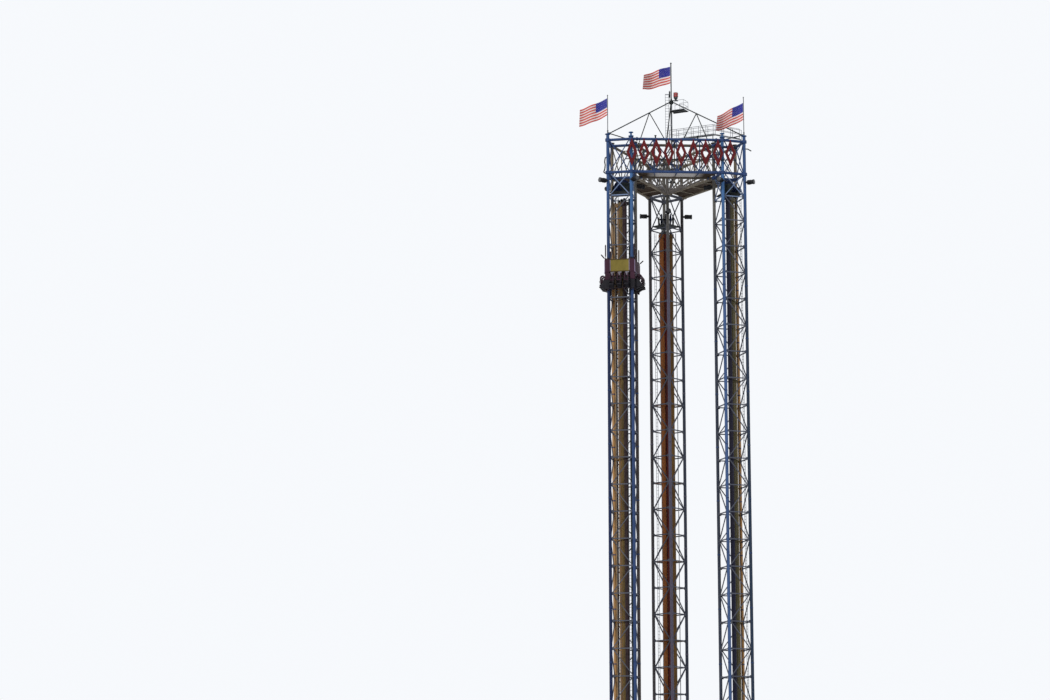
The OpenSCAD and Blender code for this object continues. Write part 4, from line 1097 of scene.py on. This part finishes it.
def make_seat_parts(tower):
    """Grab handles of the twelve seats, and the raised ribs on their backs and pans."""
    handle_x, arm_x, rib_half, rib_r = 0.0235, 0.0195, 0.0165, 0.0016
    seats = seat_frames(tower, RING_OUT + SEAT_GAP)
    handles = []
    for side in BOTH:
        x = side * handle_x
        low, high = (x, 0.0645, SEAT_RAIL_Z - 0.052), (x, 0.0690, SEAT_RAIL_Z - 0.026)
        handles.append(add_rod("grab_bar", low, high, 0.0024, sides=12))
        handles += [add_rod("grab_arm", (side * arm_x, y - 0.004, z), (x, y, z), 0.0020, sides=10)
                    for x, y, z in (low, high)]
    fit_carriage(tower, handles, seats, "grab_handles", "lamp_black")
    ribs = []
    for n in range(5):
        z = 0.062 + n * 0.0095
        y = 0.0222 - (z - 0.060) * 4 / 24 if z < 0.084 else 0.0180 - (z - 0.084) * 0.1
        ribs.append(add_rod("back_rib", (-rib_half, y, z), (rib_half, y, z), rib_r, sides=10))
    for n in range(3):
        y = 0.041 + n * 0.009
        ribs.append(add_rod("pan_rib", (-rib_half, y, 0.0405), (rib_half, y, 0.0410), rib_r, sides=10))
    fit_carriage(tower, ribs, seats, "seat_ribs", "restraint")


def make_sign_surround(tower):
    """Dark strips screwed above and below the bare sign panel, and pale ones at its ends, on both signed sides."""
    sign_w, border, wide, proud = 0.205, 0.008, 0.0064, 0.0012
    out = RING_OUT + SEAT_GAP + 0.006
    parts = []
    for z in (HEADER_LOW + border / 2, HEADER_LOW + HEADER_H - border / 2):
        parts.append(add_block("sign_strip", (0, out + proud / 2, z), (sign_w, proud, wide), edge=0.0004))
        parts += [add_hex("sign_screw", (n * 0.048, out + proud, z), (0, 1, 0))
                  for n in range(-2, 3)]
    sides = [add_block("sign_side", (side * (sign_w / 2 - border / 2), out + proud / 2, HEADER_LOW + HEADER_H / 2),
                       (wide, proud, HEADER_H - 2 * border), edge=0.0004) for side in BOTH]
    signed = carriage_sides(tower, (0, 2))
    fit_carriage(tower, sides, signed, "sign_sides", "pale_rail")
    fit_carriage(tower, parts, signed, "sign_surround", "sign_edge")


TOWER_DETAILS = (
    make_column_joints, make_node_plates, make_column_feet, make_cylinder_bands, make_sheaves,
    make_floodlight_parts, make_carriage_rollers, make_panel_trim, make_prong_sleeves, make_corner_guards,
    make_head_rests, make_seat_parts, make_sign_surround, make_head_sheaves)
TRUSS_DETAILS = (make_chord_flanges, make_truss_gussets, make_walkway_grating)


def make_details():
    """Every piece beyond the construction nodes and the flags."""
    for tower in TOWER_DIRS:
        for make in TOWER_DETAILS:
            make(tower)
    make_cable_ladder("left", 0.049, -0.086, 0.024)
    make_cable_ladder("rear", -0.117, 0.0, 0.018)
    make_risers()
    make_crown_fittings()
    for truss in TRUSS_MIDS:
        for make in TRUSS_DETAILS:
            make(truss)
    make_sign_edging()
    make_beacon_cage()
    make_mast_conduit()


def set_view():
    """The photograph's view, on a plain pale floor under soft light."""
    deselect()
    turn = (math.radians(90 + CAMERA_PITCH), 0, math.radians(-CAMERA_TURN))
    bpy.ops.object.camera_add(location=CAMERA_PLACE, rotation=turn)
    camera = bpy.context.object
    camera.data.lens = LENS_MM
    camera.data.sensor_width = SENSOR_MM
    camera.data.clip_end = 200
    scene = bpy.context.scene
    scene.camera = camera
    scene.view_settings.view_transform = "Standard"

    deselect()
    bpy.ops.mesh.primitive_circle_add(vertices=96, radius=60, fill_type="NGON", location=(0, 0, -0.002))
    floor = settle(active("studio_floor"))
    mat, tree = new_material("studio_floor")
    shade = ramp(tree, noise(tree, (0.4, 0.4, 0.4)), 0.3, 0.7)
    set_surface(tree, {"Base Color": mix(tree, shade, FLOOR_PALE, FLOOR_DARK), "Roughness": 0.8})
    floor.data.materials.append(mat)

    world = bpy.data.worlds.new("studio")
    scene.world = world
    world.use_nodes = True
    tree = world.node_tree
    path = tree.nodes.new("ShaderNodeLightPath").outputs
    seen = calc(tree, "MAXIMUM", path["Is Camera Ray"], path["Is Glossy Ray"])
    back = tree.nodes["Background"]
    feed(tree, back.inputs["Color"], mix(tree, seen, SKY_LIGHT, SKY_SEEN))
    back.inputs["Strength"].default_value = 1.0

    deselect()
    bpy.ops.object.light_add(type="SUN", location=(-6, -12, 14),
                             rotation=(math.radians(52), 0, math.radians(-28)))
    key = bpy.context.object
    key.data.energy = 1.6
    key.data.angle = math.radians(12)


dress_nodes()
make_flags()
make_details()
set_view()
